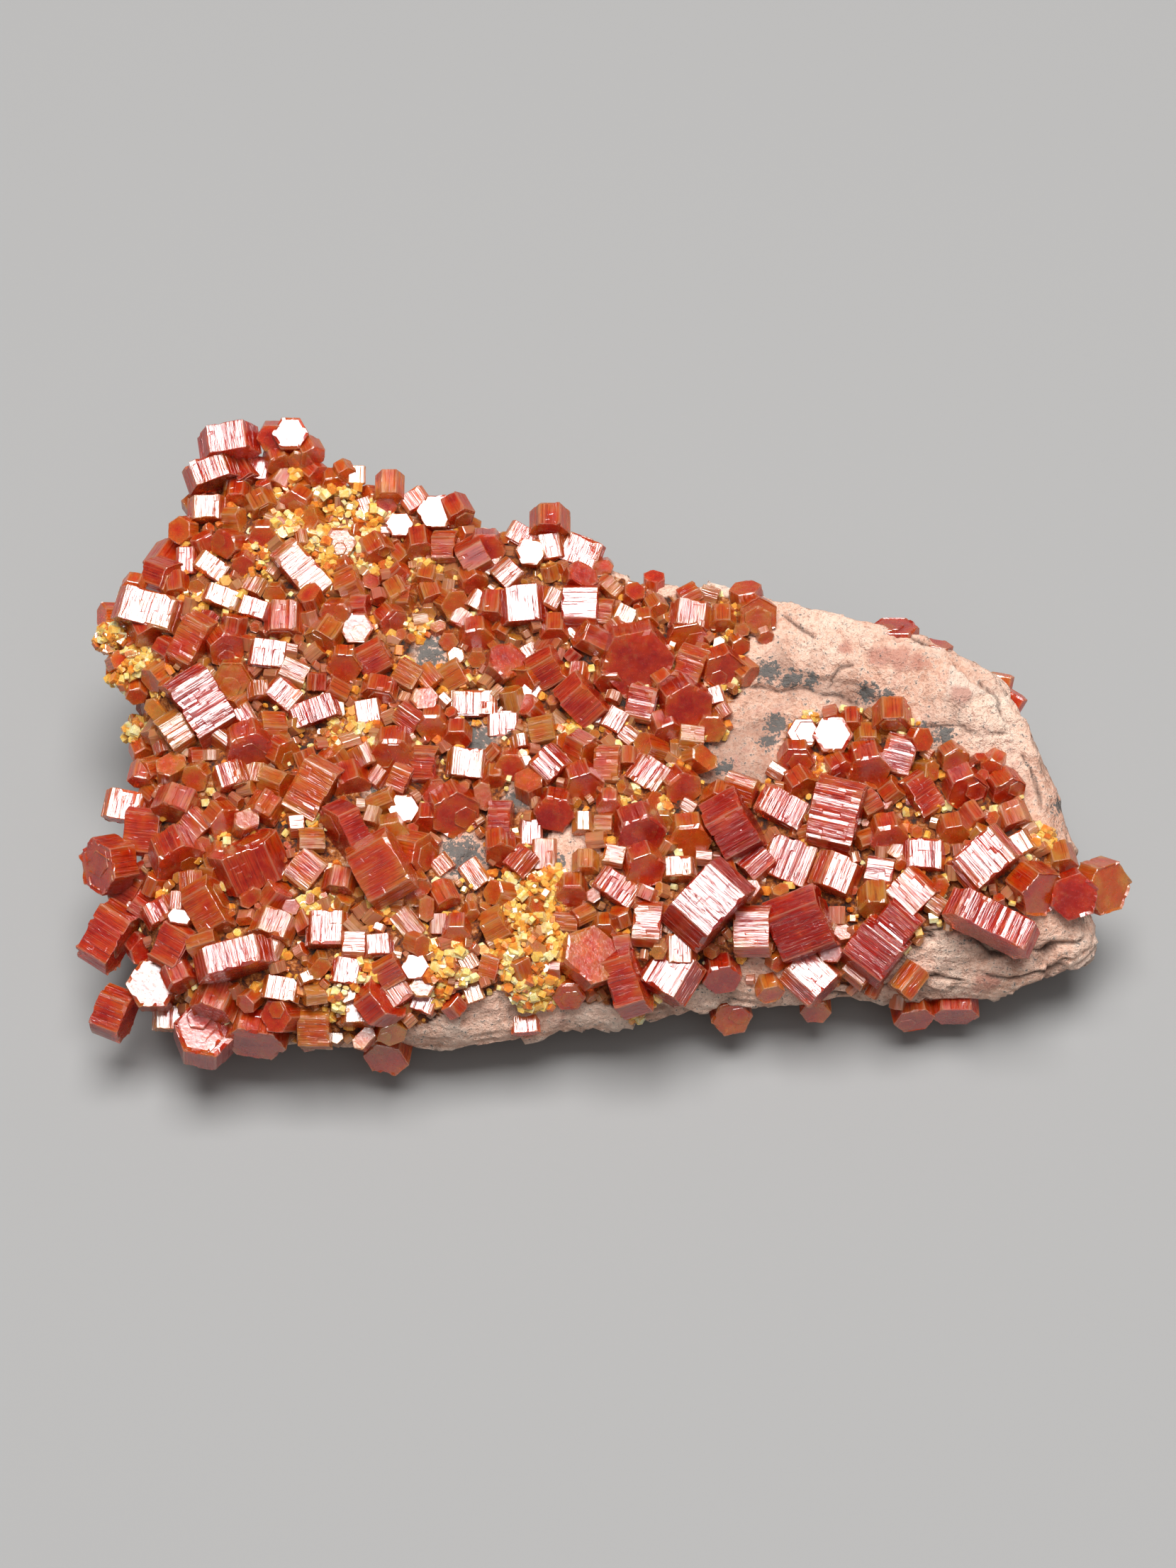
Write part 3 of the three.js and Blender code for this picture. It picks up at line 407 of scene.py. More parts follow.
ROCK_POINTS, ROCK_FACES = node_millimetres("matrix")
ROCK = BVHTree.FromPolygons(ROCK_POINTS, ROCK_FACES)
ROCK_LOW, ROCK_HIGH = (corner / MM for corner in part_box("matrix"))
MIDDLE = Vector((
    (ROCK_LOW.x + ROCK_HIGH.x) / 2 + DISPLAY_MIDDLE[0],
    (ROCK_LOW.y + ROCK_HIGH.y) / 2 + DISPLAY_MIDDLE[1],
    ROCK_LOW.z + DISPLAY_HEIGHT,
))


def hit_rock(direction, right, up):
    """The point of the rock behind a place in a view, or None."""
    origin = direction @ Vector((right, up, FAR)) + MIDDLE
    return ROCK.ray_cast(origin, -direction.col[2])[0]


def seat(direction, right, up):
    """The point behind a place; beside the rock, the nearest point inwards gives the depth."""
    pull = 1.0
    while pull > LEAST_PULL:
        found = hit_rock(direction, right * pull, up * pull)
        if found:
            depth = (found - MIDDLE).dot(direction.col[2])
            return direction @ Vector((right, up, depth)) + MIDDLE
        pull -= PULL_STEP
    raise ValueError(f"no rock near {right}, {up}")


def display_place(point):
    """(right, up) of a point in the display view."""
    offset = Vector(point) - MIDDLE
    return offset.dot(DISPLAY.col[0]), offset.dot(DISPLAY.col[1])


def inside(outline, x, y):
    crossings = 0
    for (x0, y0), (x1, y1) in zip(outline, outline[1:] + outline[:1]):
        if (y0 > y) != (y1 > y) and x < x0 + (y - y0) / (y1 - y0) * (x1 - x0):
            crossings += 1
    return crossings % 2 == 1


def near_spot(spots, x, y):
    """1 in the middle of the nearest of the round spots, 0 at the edge, below 0 beyond."""
    return max(1 - math.hypot(x - spot[0], y - spot[1]) / spot[2] for spot in spots)


# ---- crystal meshes ----
PRISM, BASAL = 0.0, 1.0  # kinds of face
PAINTED_EDGE_LIGHT_WIDTH = 1.1  # how far in from an edge a crystal is painted paler, a painted glow of light through its thin edges
WIDEST_EDGE = 0.2  # of a long edge's bevel, as a share of its face
UNEVEN_STRIPS = 0.35  # how far a strip's edge may wander, as a share of the strip
UNEVEN_LENGTHS = 0.3
NEW_DEPTH = 0.55  # chance that a strip stands at a new depth
SAME_ALONG = 0.8  # chance that it keeps that depth along the crystal
NEW_LEVEL = 0.4  # chance that a strip ends at a new level
STRIATED = (0.25, 1)  # how deep a crystal's striations are, as a share of the deepest
LONGEST_STEP = 0.04  # between strips end to end, as a share of the crystal's length
STEP_SHARE = 0.2  # the same, as a share of a strip's length
END_FACE = (0.82, 0.92)  # of the uneven part of an end, as a share of the end
END_PAINTED_EDGE_LIGHT = 0.8  # how much closer to the edge a place on an end counts for the painted edge glow
GRAIN_SPREAD = 40  # how far apart the striations of two crystals are in their pattern


def mark(mesh, name, kind, domain, values):
    """Gives the mesh an attribute, which its material reads."""
    field = "vector" if kind == "FLOAT_VECTOR" else "value"
    numbers = np.ravel(values).astype(np.float32)
    mesh.attributes.new(name, kind, domain).data.foreach_set(field, numbers)


def put_in_scene(name, data):
    """A new object with this mesh, light or camera."""
    made = bpy.data.objects.new(name, data)
    bpy.context.scene.collection.objects.link(made)
    return made


class Shell:
    """Triangles of one piece, with what the materials read from them."""

    def __init__(self):
        self.parts = []
        self.count = 0

    def add(self, points, triangles, grain, painted_edge_light, looks):
        """grain and the painted edge light have one value a corner of a triangle, and looks has one a
        triangle.
        """
        self.parts.append((points, triangles + self.count, grain, painted_edge_light, looks))
        self.count += len(points)

    def build(self, name, material):
        points, triangles, grain, painted_edge_light, looks = map(np.concatenate, zip(*self.parts))
        mesh = bpy.data.meshes.new(name)
        mesh.from_pydata((points * MM).tolist(), [], triangles.tolist())
        mark(mesh, "grain", "FLOAT_VECTOR", "CORNER", grain)
        mark(mesh, "painted_edge_light", "FLOAT", "CORNER", painted_edge_light)
        mark(mesh, "looks", "FLOAT_VECTOR", "FACE", looks)
        mesh.materials.append(material)
        mesh.update()
        piece = put_in_scene(name, mesh)
        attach(piece, "root")
        return piece


def outline_corners(across, broad):
    half = across / 2
    depth = half * math.sqrt(3) * (1 - broad)
    side = half * broad
    return np.array([
        (half, 0), (side, depth), (-side, depth), (-half, 0), (-side, -depth), (side, -depth),
    ])


def strips_round(corners, fine):
    """Points round the outline a strip apart, the way out at each, and which are corners."""
    points, outwards, is_corner = [], [], []
    for here, there in zip(corners, np.roll(corners, -1, axis=0)):
        along = there - here
        length = np.hypot(*along)
        edge = min(fine["edge"] / length, WIDEST_EDGE)
        number = max(1, round(length / fine["width"]))
        cuts = edge + (1 - 2 * edge) * np.arange(number) / number
        cuts[1:] += rng.uniform(-UNEVEN_STRIPS, UNEVEN_STRIPS, number - 1) / number
        way_out = np.array([along[1], -along[0]]) / length
        for cut in (*cuts, 1 - edge):
            points.append(here + along * cut)
            outwards.append(way_out)
            is_corner.append(cut in (edge, 1 - edge))
    return np.array(points), np.array(outwards), np.array(is_corner)


def mostly_small():
    """A random number from 0 to 1, more often near 0."""
    return rng.random() ** 3


def striation_offsets(is_corner, segments, depth):
    """How far each strip's edge stands in from its face, for each length of the crystal."""
    number = len(is_corner)
    offsets = np.zeros((segments, number))
    for segment in range(segments):
        level = 0.0
        for j in range(number):
            if is_corner[j] or rng.random() < NEW_DEPTH:
                level = -depth * mostly_small()
            offsets[segment, j] = level
        if segment:
            kept = rng.random(number) < SAME_ALONG
            offsets[segment, kept] = offsets[segment - 1, kept]
    return offsets


def broken_levels(number, drop):
    """How far each strip stops short of the crystal's end: runs of strips share a level."""
    levels = np.zeros(number)
    level = 0.0
    for j in range(number):
        if rng.random() < NEW_LEVEL:
            level = drop * mostly_small()
        levels[j] = level
    return levels


def crystal_rings(points, outwards, is_corner, thick, fine):
    """Heights and offsets of the rings along the crystal, from one bevelled end to the other."""
    segments = max(1, round(thick / fine["length"]))
    cuts = np.linspace(0, 1, segments + 1)
    cuts[1:-1] += rng.uniform(-UNEVEN_LENGTHS, UNEVEN_LENGTHS, segments - 1) / segments
    offsets = striation_offsets(is_corner, segments, fine["depth"] * rng.uniform(*STRIATED))
    step = min(LONGEST_STEP, STEP_SHARE / segments)
    low_end, high_end = (broken_levels(len(points), fine["drop"]) for _ in range(2))
    rings, heights = [], []
    for segment in range(segments):
        for cut in (cuts[segment] + step / 2, cuts[segment + 1] - step / 2):
            rings.append(points + outwards * offsets[segment][:, None])
            heights.append(np.full(len(points), (cut - 0.5) * thick))
    heights[0] = -thick / 2 + fine["bevel"] + low_end
    heights[-1] = thick / 2 - fine["bevel"] - high_end
    return rings, heights, low_end, high_end


def cap_rings(ring, thick, sign, short, fine):
    """The bevel and the slightly uneven face at one end: rings of (a, b, c) points and the middle."""
    bevelled = ring * (1 - fine["bevel"] / np.abs(ring).max())
    end = np.column_stack([bevelled, sign * (thick / 2 - short)])
    level = sign * (thick / 2 - fine["sink"] * mostly_small())
    inner = np.column_stack([ring * rng.uniform(*END_FACE), np.full(len(ring), level)])
    middle = np.array([[0, 0, level]])
    return end, inner, middle


def band(lower, upper, number):
    """Triangles between two rings of points that run the same way round."""
    here = np.arange(number)
    after = (here + 1) % number
    return np.concatenate([
        np.column_stack([lower + here, lower + after, upper + after]),
        np.column_stack([lower + here, upper + after, upper + here]),
    ])


def fan(ring, middle, number):
    here = np.arange(number)
    return np.column_stack([ring + here, ring + (here + 1) % number, np.full(number, middle)])


def crystal_mesh(across, thick, broad, spin, tone, fine):
    """Points of a crystal about its own middle, with c along its axis, and its triangles."""
    points, outwards, is_corner = strips_round(outline_corners(across, broad), fine)
    number = len(points)
    rings, heights, low_end, high_end = crystal_rings(points, outwards, is_corner, thick, fine)
    sides = [np.column_stack([ring, height]) for ring, height in zip(rings, heights)]
    low_cap, low_inner, low_middle = cap_rings(rings[0], thick, -1, low_end, fine)
    high_cap, high_inner, high_middle = cap_rings(rings[-1], thick, 1, high_end, fine)
    stack = [low_inner, low_cap, *sides, high_cap, high_inner]
    corners = np.concatenate([*stack, low_middle, high_middle])
    bands = [band(k * number, (k + 1) * number, number) for k in range(len(stack) - 1)]
    kinds = [BASAL, BASAL, *[PRISM] * (len(stack) - 5), BASAL, BASAL]
    top = (len(stack) - 1) * number
    bands.append(fan(0, len(corners) - 2, number)[:, ::-1])
    bands.append(fan(top, len(corners) - 1, number))
    kinds += [BASAL, BASAL]
    triangles = np.concatenate(bands)
    kind = np.concatenate([np.full(len(b), k) for b, k in zip(bands, kinds)])
    own = rng.random()
    grain = grain_of(corners, triangles, kind, points, own)
    # painted edge light: the material paints a glow and a highlight at the crystal's edges from it
    painted_edge_light = painted_edge_light_of(corners, triangles, kind, is_corner, points, thick)
    looks = np.column_stack([np.full(len(kind), tone), kind, np.full(len(kind), own)])
    turned = math.radians(spin)
    about = np.array([[math.cos(turned), math.sin(turned)], [-math.sin(turned), math.cos(turned)]])
    corners[:, :2] = corners[:, :2] @ about
    return corners, triangles, grain, painted_edge_light, looks


def painted_edge_light_of(corners, triangles, kind, is_corner, points, thick):
    """Painted edge light: 1 at a crystal's edges, falling to 0 inside its faces, where it is thick; the
    material paints a glow and a highlight there.
    """
    edges = points[is_corner]
    to_edge = np.linalg.norm(points[:, None, :] - edges[None, :, :], axis=2).min(axis=1)
    corner_of = triangles.reshape(-1)
    to_end = thick / 2 - np.abs(corners[corner_of, 2])
    on_side = np.minimum(to_edge[corner_of % len(points)], to_end)
    reach = np.linalg.norm(corners[corner_of, :2], axis=1)
    on_end = (np.linalg.norm(points, axis=1).mean() - reach) * END_PAINTED_EDGE_LIGHT
    inwards = np.where(np.repeat(kind == PRISM, 3), on_side, on_end)
    return np.clip(1 - inwards / PAINTED_EDGE_LIGHT_WIDTH, 0, 1)


def grain_of(corners, triangles, kind, points, own):
    """Across the striations and along them on the sides; flat coordinates on the ends."""
    steps = np.hypot(*(np.roll(points, -1, axis=0) - points).T)
    round_about = np.concatenate([[0], np.cumsum(steps)])
    number = len(points)
    corner_of = triangles.reshape(-1)
    place = round_about[corner_of % number]
    wrapped = (corner_of % number == 0) & np.repeat((triangles % number == number - 1).any(axis=1), 3)
    place = np.where(wrapped, round_about[-1], place)
    on_side = np.repeat(kind == PRISM, 3)
    first = np.where(on_side, place, corners[corner_of, 0])
    second = np.where(on_side, corners[corner_of, 2], corners[corner_of, 1])
    return np.column_stack([first, second, np.full(len(first), GRAIN_SPREAD * own)])


def crystal_axes(direction, turn, lean):
    """The crystal's own three directions in the row frame, as columns."""
    bearing = math.radians(turn)
    tip = math.radians(lean)
    level = math.cos(tip)
    axis = direction @ Vector((level * math.cos(bearing), level * math.sin(bearing), math.sin(tip)))
    widthways = direction @ Vector((-math.sin(bearing), math.cos(bearing), 0))
    return np.array(Matrix((widthways, axis.cross(widthways), axis)).transposed())


def finely(*values):
    """How finely a crystal is made.

    width   of a strip                     length  of a strip along the axis
    depth   of the striations              bevel   of the ends
    edge    bevel of the long edges        drop    how far strips stop short of the end
    sink    how far the end face may be sunk
    """
    return dict(zip(("width", "length", "depth", "bevel", "edge", "drop", "sink"), values))


LARGE_FROM = 3.3
LARGE = finely(0.3, 0.6, 0.11, 0.06, 0.06, 0.35, 0.3)
MEDIUM_FROM = 1.9
MEDIUM = finely(0.36, 0.7, 0.07, 0.05, 0.05, 0.2, 0.12)
TINY = finely(2, 9, 0.03, 0.04, 0.04, 0.04, 0.04)
COMPANIONS_FROM = 3
# Width and length as shares of the crystal's, how far out it lies, and how far its end stands
# proud of the crystal's, or short of it.
COMPANION = {"width": (0.4, 0.75), "length": (0.5, 0.92), "reach": (0.5, 0.95), "slide": (-0.2, 0.12)}


def fineness(across):
    if across > LARGE_FROM:
        return LARGE
    return MEDIUM if across > MEDIUM_FROM else TINY


def companions(across, thick, broad):
    """Parallel individuals that break the outline of a large crystal: sizes and shifts."""
    if across < COMPANIONS_FROM:
        return []
    found = []
    for _ in range(rng.integers(1, 4)):
        size = across * rng.uniform(*COMPANION["width"])
        length = thick * rng.uniform(*COMPANION["length"])
        heading = rng.uniform(0, 2 * math.pi)
        reach = (across - size) / 2 * rng.uniform(*COMPANION["reach"])
        depth = math.sqrt(3) * (1 - broad)
        shift = (reach * math.cos(heading), reach * depth * math.sin(heading))
        slide = rng.choice([-1, 1]) * ((thick - length) / 2 + rng.uniform(*COMPANION["slide"]))
        found.append((size, length, (*shift, slide)))
    return found


def add_crystal(shell, centre, axes, across, thick, broad, spin, tone):
    parts = [(across, thick, (0, 0, 0)), *companions(across, thick, broad)]
    for size, length, shift in parts:
        corners, triangles, *marks = crystal_mesh(size, length, broad, spin, tone, fineness(size))
        points = (corners + np.array(shift)) @ axes.T + np.array(centre)
        shell.add(points, triangles, *marks)


def place_name(centre):
    side = "left" if centre.x - MIDDLE.x < -SIDE_EDGE else "middle"
    side = "right" if centre.x - MIDDLE.x > SIDE_EDGE else side
    depth = "front" if centre.y - MIDDLE.y < -DEPTH_EDGE else "centre"
    depth = "back" if centre.y - MIDDLE.y > DEPTH_EDGE else depth
    return f"{depth}_{side}"


TONE = {"smallest": 0.76, "per_mm": 0.08, "spread": 0.17, "in_zone": 0.3}


def usual_tone(across, right, up):
    """0 deep red, 0.5 orange, 1 amber: small crystals are paler, and so are those in some zones."""
    tone = TONE["smallest"] - TONE["per_mm"] * across + rng.normal(0, TONE["spread"])
    tone += TONE["in_zone"] * max(0, near_spot(HONEY, right, up), near_spot(PALE, right, up))
    tone -= TONE["in_zone"] * max(0, near_spot(DEEP, right, up))
    return min(max(tone, 0), 1)


SHELLS = {}
CENTRES = []
WIDTHS = []


def put_crystal(direction, centre, size, pose):
    across, thick, broad = size
    turn, lean, spin = pose
    tone = usual_tone(across, *display_place(centre))
    shell = SHELLS.setdefault(place_name(centre), Shell())
    add_crystal(shell, centre, crystal_axes(direction, turn, lean), across, thick, broad, spin, tone)
    CENTRES.append(tuple(centre))
    WIDTHS.append((across + thick) / 2)


def place_crystal(direction, entry):
    right, up, across, thick, turn, lean, *last = entry
    broad, spin, lift = (*last, *USUAL_LAST[len(last):])
    centre = seat(direction, right, up) + direction.col[2] * (lift + USUAL_LIFT * across)
    put_crystal(direction, centre, (across, thick, broad), (turn, lean, spin))


def place_all():
    for group in (CRYSTALS, SMALL_CRYSTALS):
        for entries in group.values():
            place_each(DISPLAY, entries)
    place_each(BEHIND, BACK_CRYSTALS)
    place_each(LEFT_SIDE, LEFT_CRYSTALS)


def place_each(direction, entries):
    for entry in entries:
        place_crystal(direction, entry)


def has_room(centre, width, closeness):
    """False where a neighbour would overlap too much; closeness 1 lets them just touch."""
    away = np.linalg.norm(np.array(CENTRES) - np.array(centre), axis=1)
    return bool(np.all(away > closeness * (np.array(WIDTHS) + width) / 2))


GAP_CLOSENESS = 0.8
GAP_LIFT = 0.5  # the most that a crystal in a gap stands off its usual seat
BARE_FROM = 0.02  # how far inside an opening no crystal grows
AMONG_GRAINS = 1.7  # largest usual crystal among the honey-yellow grains
STRAY_LARGE = 0.2  # chance of a larger one there
GRAINS_FROM = 0.1  # how far inside a zone of grains that holds
LYING = 0.62  # share of the small crystals that lie on their sides
LEAN = {"lying": (4, 30), "standing": (40, 80)}
SMALL_THICK = (0.55, 1.0)  # length, as a share of the width
SMALL_BROAD = (0.45, 0.7)


def fill_gaps(tries, direction, zone, sizes):
    """Small crystals at any turn wherever a zone still has room for them."""
    low = np.min(zone, axis=0)
    high = np.max(zone, axis=0)
    for _ in range(tries):
        right, up = rng.uniform(low, high)
        across = rng.uniform(*sizes)
        found = hit_rock(direction, right, up) if inside(zone, right, up) else None
        if found is None:
            continue
        centre = found + direction.col[2] * (USUAL_LIFT * across + GAP_LIFT * rng.random())
        if suits(across, *display_place(found)) and has_room(centre, across, GAP_CLOSENESS):
            add_small(direction, centre, across)


def suits(across, right, up):
    """Openings stay bare, and only small crystals grow among the honey-yellow grains."""
    if near_spot(OPENINGS, right, up) > BARE_FROM:
        return False
    if across < AMONG_GRAINS or near_spot(HONEY, right, up) < GRAINS_FROM:
        return True
    return rng.random() < STRAY_LARGE


def add_small(direction, centre, across):
    thick = across * rng.uniform(*SMALL_THICK)
    lean = rng.uniform(*LEAN["lying" if rng.random() < LYING else "standing"])
    pose = (rng.uniform(-180, 180), lean, rng.uniform(0, 60))
    put_crystal(direction, centre, (across, thick, rng.uniform(*SMALL_BROAD)), pose)


HEAP = 0.3  # height of a heap of grains, as a share of its radius
GRAIN_CLOSENESS = 0.85  # how far inside a crystal's width no grain lies
GRAIN_SIZES = (0.2, 0.6)  # half of a grain's width
GRAIN_SHAPE = (0.65, 1.2)  # how far it is squeezed or drawn out along each direction
GRAIN_HALF = 0.7  # half of a grain's length, as a share of that of its width
LOW_GRAIN = -0.1  # how far off the rock the lowest and highest grains lie
HIGH_GRAIN = {"heap": 0.4, "stray": 0.5}
BALL = 0.75  # radius of a heap beside the rock, as a share of its zone's
EVEN_FILL = 0.33  # about a third, so that grains fill such a ball evenly
IN_OPENING = 0.2  # how far into an opening stray grains reach
STRAY_RIGHT = (-46, 45)
STRAY_UP = (-28, 29)
GRAIN_COUNTS = (4900, 2400)  # in the zones, and anywhere in the crust


def plain_prism():
    """Points and triangles of a six-sided prism 2 wide, with flat ends."""
    turns = np.arange(6) * math.pi / 3
    ring = np.column_stack([np.cos(turns), np.sin(turns)])
    low = np.column_stack([ring, np.full(6, -GRAIN_HALF)])
    high = np.column_stack([ring, np.full(6, GRAIN_HALF)])
    ends = [(0, k + 1, k) for k in range(1, 5)] + [(6, 6 + k, 7 + k) for k in range(1, 5)]
    return np.concatenate([low, high]), np.concatenate([band(0, 6, 6), np.array(ends)])


def any_rotation():
    return np.array(Quaternion(rng.normal(0, 1, 4)).normalized().to_matrix())


def honey_place(zone):
    """A place in a zone of honey-yellow grains: heaped up, or in a ball where no rock is behind."""
    right, up, radius, _ = zone
    heading = rng.uniform(0, 2 * math.pi)
    reach = math.sqrt(rng.random())
    across = right + reach * radius * math.cos(heading)
    along = up + reach * radius * math.sin(heading)
    found = hit_rock(DISPLAY, across, along)
    if found:
        heap = HEAP * radius * (1 - reach ** 2)
        return found + DISPLAY.col[2] * rng.uniform(LOW_GRAIN, HIGH_GRAIN["heap"] + heap)
    way = Vector(rng.normal(0, 1, 3)).normalized()
    return seat(DISPLAY, right, up) + way * (BALL * radius * rng.random() ** EVEN_FILL)


def stray_place():
    """A place anywhere in the crust, down on the rock."""
    while True:
        place = (rng.uniform(*STRAY_RIGHT), rng.uniform(*STRAY_UP))
        found = hit_rock(DISPLAY, *place) if inside(CRUST, *place) else None
        if found and near_spot(OPENINGS, *place) < IN_OPENING:
            return found + DISPLAY.col[2] * rng.uniform(LOW_GRAIN, HIGH_GRAIN["stray"])


def honey_grains(in_zones, strays):
    """Tiny honey-yellow crystals that fill the gaps between the others."""
    shell = Shell()
    shape, triangles = plain_prism()
    shares = np.array([zone[3] for zone in HONEY], float)
    zones = rng.choice(len(HONEY), in_zones, p=shares / shares.sum())
    centres = [honey_place(HONEY[index]) for index in zones]
    centres += [stray_place() for _ in range(strays)]
    for centre in centres:
        size = rng.uniform(*GRAIN_SIZES)
        if not has_room(centre, size, GRAIN_CLOSENESS):
            continue
        uneven = size * rng.uniform(*GRAIN_SHAPE, 3)
        points = (shape * uneven) @ any_rotation() + np.array(centre)
        grain = points[triangles.reshape(-1)]
        looks = np.tile([rng.random(), BASAL, rng.random()], (len(triangles), 1))
        shell.add(points, triangles, grain, np.ones(len(grain)), looks)
    return shell


# ---- rock ----
SMOOTH_PASSES = (0, 1, 1)  # after each subdivision
FACING = 0.25  # how much a face must face the display to be marked and finely divided
LEVEL_GROUND = 1.4  # how fast a slope stops counting as a wall
CHIP_HEIGHT = 0.12
CHIP_SIZE = 7.5
CHIP_NOISE = (0.8, 2.2, 5, 1.0, 2.0)  # dimension, lacunarity, octaves, offset and gain
CHIP_LEVEL = 1.2  # value of that noise at which the surface stays where it was
BUMPS = ((0.1, 1.2), (0.06, 0.5))  # height and size
FACET_SIZES = (6.5, 2.2)
FACET_HEIGHT = {"display": 0.2, "walls": 0.38}
FACET_BEND = 0.25  # how far the edges of facets wander, as a share of their size
BEND_SIZE = 1.5  # of that wandering, in the same way
FACET_TIPS = 7.3  # how far apart two facets are in the pattern that tips them
# Layers in the walls: their height and depth, where in its height a layer is deepest, the depth
# at which the wall stays where it was, how far the layers bend over what length, and how much of
# them shows, in patches of what size.
LAYER = {
    "height": 0.95, "depth": 0.7, "deepest": 0.35, "mean": 0.2, "bend": 1.1, "bend_size": 14,
    "shown": 0.25, "patch": 3.1,
}
CRACK_REACH = 0.38  # half of a crack's width
CRACK_DEPTH = 0.4
HOLLOW_DEPTH = 1.1
MARK_WANDER = 0.5
MARKS = ("film", "rust", "crack_and_shadow", "relief", "druse_and_shade", "wall")
FOOT = (0.2, 1.5)  # where the relief starts above the base, and how high it takes to grow full


def distance_to_line(line, x, y):
    best = FAR
    for (x0, y0), (x1, y1) in zip(line, line[1:]):
        length = (x1 - x0) ** 2 + (y1 - y0) ** 2
        share = min(max(((x - x0) * (x1 - x0) + (y - y0) * (y1 - y0)) / length, 0), 1)
        best = min(best, math.hypot(x - x0 - share * (x1 - x0), y - y0 - share * (y1 - y0)))
    return best


def faces_display(normal):
    return normal.dot(DISPLAY.col[2]) > FACING


def wall_share(normal):
    """1 on an upright wall, 0 on level ground."""
    return max(0, 1 - LEVEL_GROUND * abs(normal.z))


def finer_where_bare(made):
    """One more subdivision where no crystals cover the rock in the display view."""
    edges = set()
    for face in made.faces:
        middle = face.calc_center_median()
        if faces_display(face.normal) and not inside(CRUST, *display_place(middle)):
            edges.update(face.edges)
    bmesh.ops.subdivide_edges(made, edges=list(edges), cuts=1, use_grid_fill=True)
    bmesh.ops.triangulate(made, faces=made.faces)


def divided_rock():
    made = bmesh.new()
    made.from_mesh(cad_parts["matrix"].data)
    bmesh.ops.scale(made, vec=(1 / MM, 1 / MM, 1 / MM), verts=made.verts)
    bmesh.ops.remove_doubles(made, verts=made.verts, dist=0.001)
    for passes in SMOOTH_PASSES:
        bmesh.ops.subdivide_edges(made, edges=made.edges, cuts=1, use_grid_fill=True)
        for _ in range(passes):
            bmesh.ops.smooth_vert(made, verts=made.verts, factor=0.5, use_axis_x=True,
                                  use_axis_y=True, use_axis_z=True)
    bmesh.ops.triangulate(made, faces=made.faces)
    finer_where_bare(made)
    made.normal_update()
    return made


def facets(point, size):
    """Height of flat facets about size across, each tipped its own way, with steps between."""
    bent = point / size + FACET_BEND * noise.noise_vector(point / (BEND_SIZE * size))
    middle = noise.voronoi(bent)[1][0]
    tip = noise.noise_vector(middle * FACET_TIPS)
    return size * (bent - middle).dot(tip)


def broken_relief(point, normal):
    """Height of the broken surface: facets and chips, with layers on the walls."""
    chips = noise.ridged_multi_fractal(point / CHIP_SIZE, *CHIP_NOISE) - CHIP_LEVEL
    relief = CHIP_HEIGHT * chips
    for height, size in BUMPS:
        relief += height * noise.noise(point / size)
    rough = FACET_HEIGHT["display" if faces_display(normal) else "walls"]
    relief += rough * sum(facets(point, size) for size in FACET_SIZES)
    bent = point.z / LAYER["height"] + LAYER["bend"] * noise.noise(point / LAYER["bend_size"])
    layer = LAYER["depth"] * abs((bent % 1.0) - LAYER["deepest"]) - LAYER["mean"]
    shown = max(0, noise.noise(point / LAYER["patch"]) + LAYER["shown"])
    return relief + wall_share(normal) * shown * layer


def rock_marks(point, normal):
    """(film, rust, crack, hollow, druse) of a point, each 0 to 1, from its display place; the material
    paints shadow into the cracks and hollows and shade into the druse.
    """
    if not faces_display(normal):
        return 0, 0, 0, 0, 0
    right, up = display_place(point)
    right += MARK_WANDER * noise.noise(point / 2)
    up += MARK_WANDER * noise.noise(point / 2 + Vector((9, 0, 0)))
    film, rust, hollow_and_shade = (max(0, near_spot(spots, right, up)) for spots in (FILMS, RUST, HOLLOWS))
    to_crack = min(distance_to_line(line, right, up) for line in CRACKS)
    crack_and_shadow = max(0, 1 - to_crack / CRACK_REACH)
    # marks the crust, where the material paints shade in the gaps between the crystals
    druse_and_shade = float(inside(CRUST, right, up) and near_spot(OPENINGS, right, up) < 0)
    return film, rust, crack_and_shadow, hollow_and_shade, druse_and_shade


def build_rock(material):
    made = divided_rock()
    base = ROCK_LOW.z
    marks = []
    for vertex in made.verts:
        point = vertex.co.copy()
        film, rust, crack_and_shadow, hollow_and_shade, druse_and_shade = rock_marks(point, vertex.normal)
        relief = broken_relief(point, vertex.normal)
        above = min(max((point.z - base - FOOT[0]) / FOOT[1], 0), 1)
        height = above * (relief - CRACK_DEPTH * crack_and_shadow - HOLLOW_DEPTH * hollow_and_shade)
        vertex.co = point + vertex.normal * height
        vertex.co.z = max(vertex.co.z, base)
        wall = wall_share(vertex.normal)
        # cracks and hollows keep one mask, which the material paints as shadow
        marks.append((film, rust, max(crack_and_shadow, hollow_and_shade), relief, druse_and_shade, wall))
    mesh = bpy.data.meshes.new("rock")
    bmesh.ops.scale(made, vec=(MM, MM, MM), verts=made.verts)
    made.to_mesh(mesh)
    made.free()
    for name, values in zip(MARKS, np.transpose(marks)):
        mark(mesh, name, "FLOAT", "POINT", values)
    mesh.polygons.foreach_set("use_smooth", [True] * len(mesh.polygons))
    mesh.materials.append(material)
    piece = put_in_scene("rock", mesh)
    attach(piece, "root")
    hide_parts("matrix")


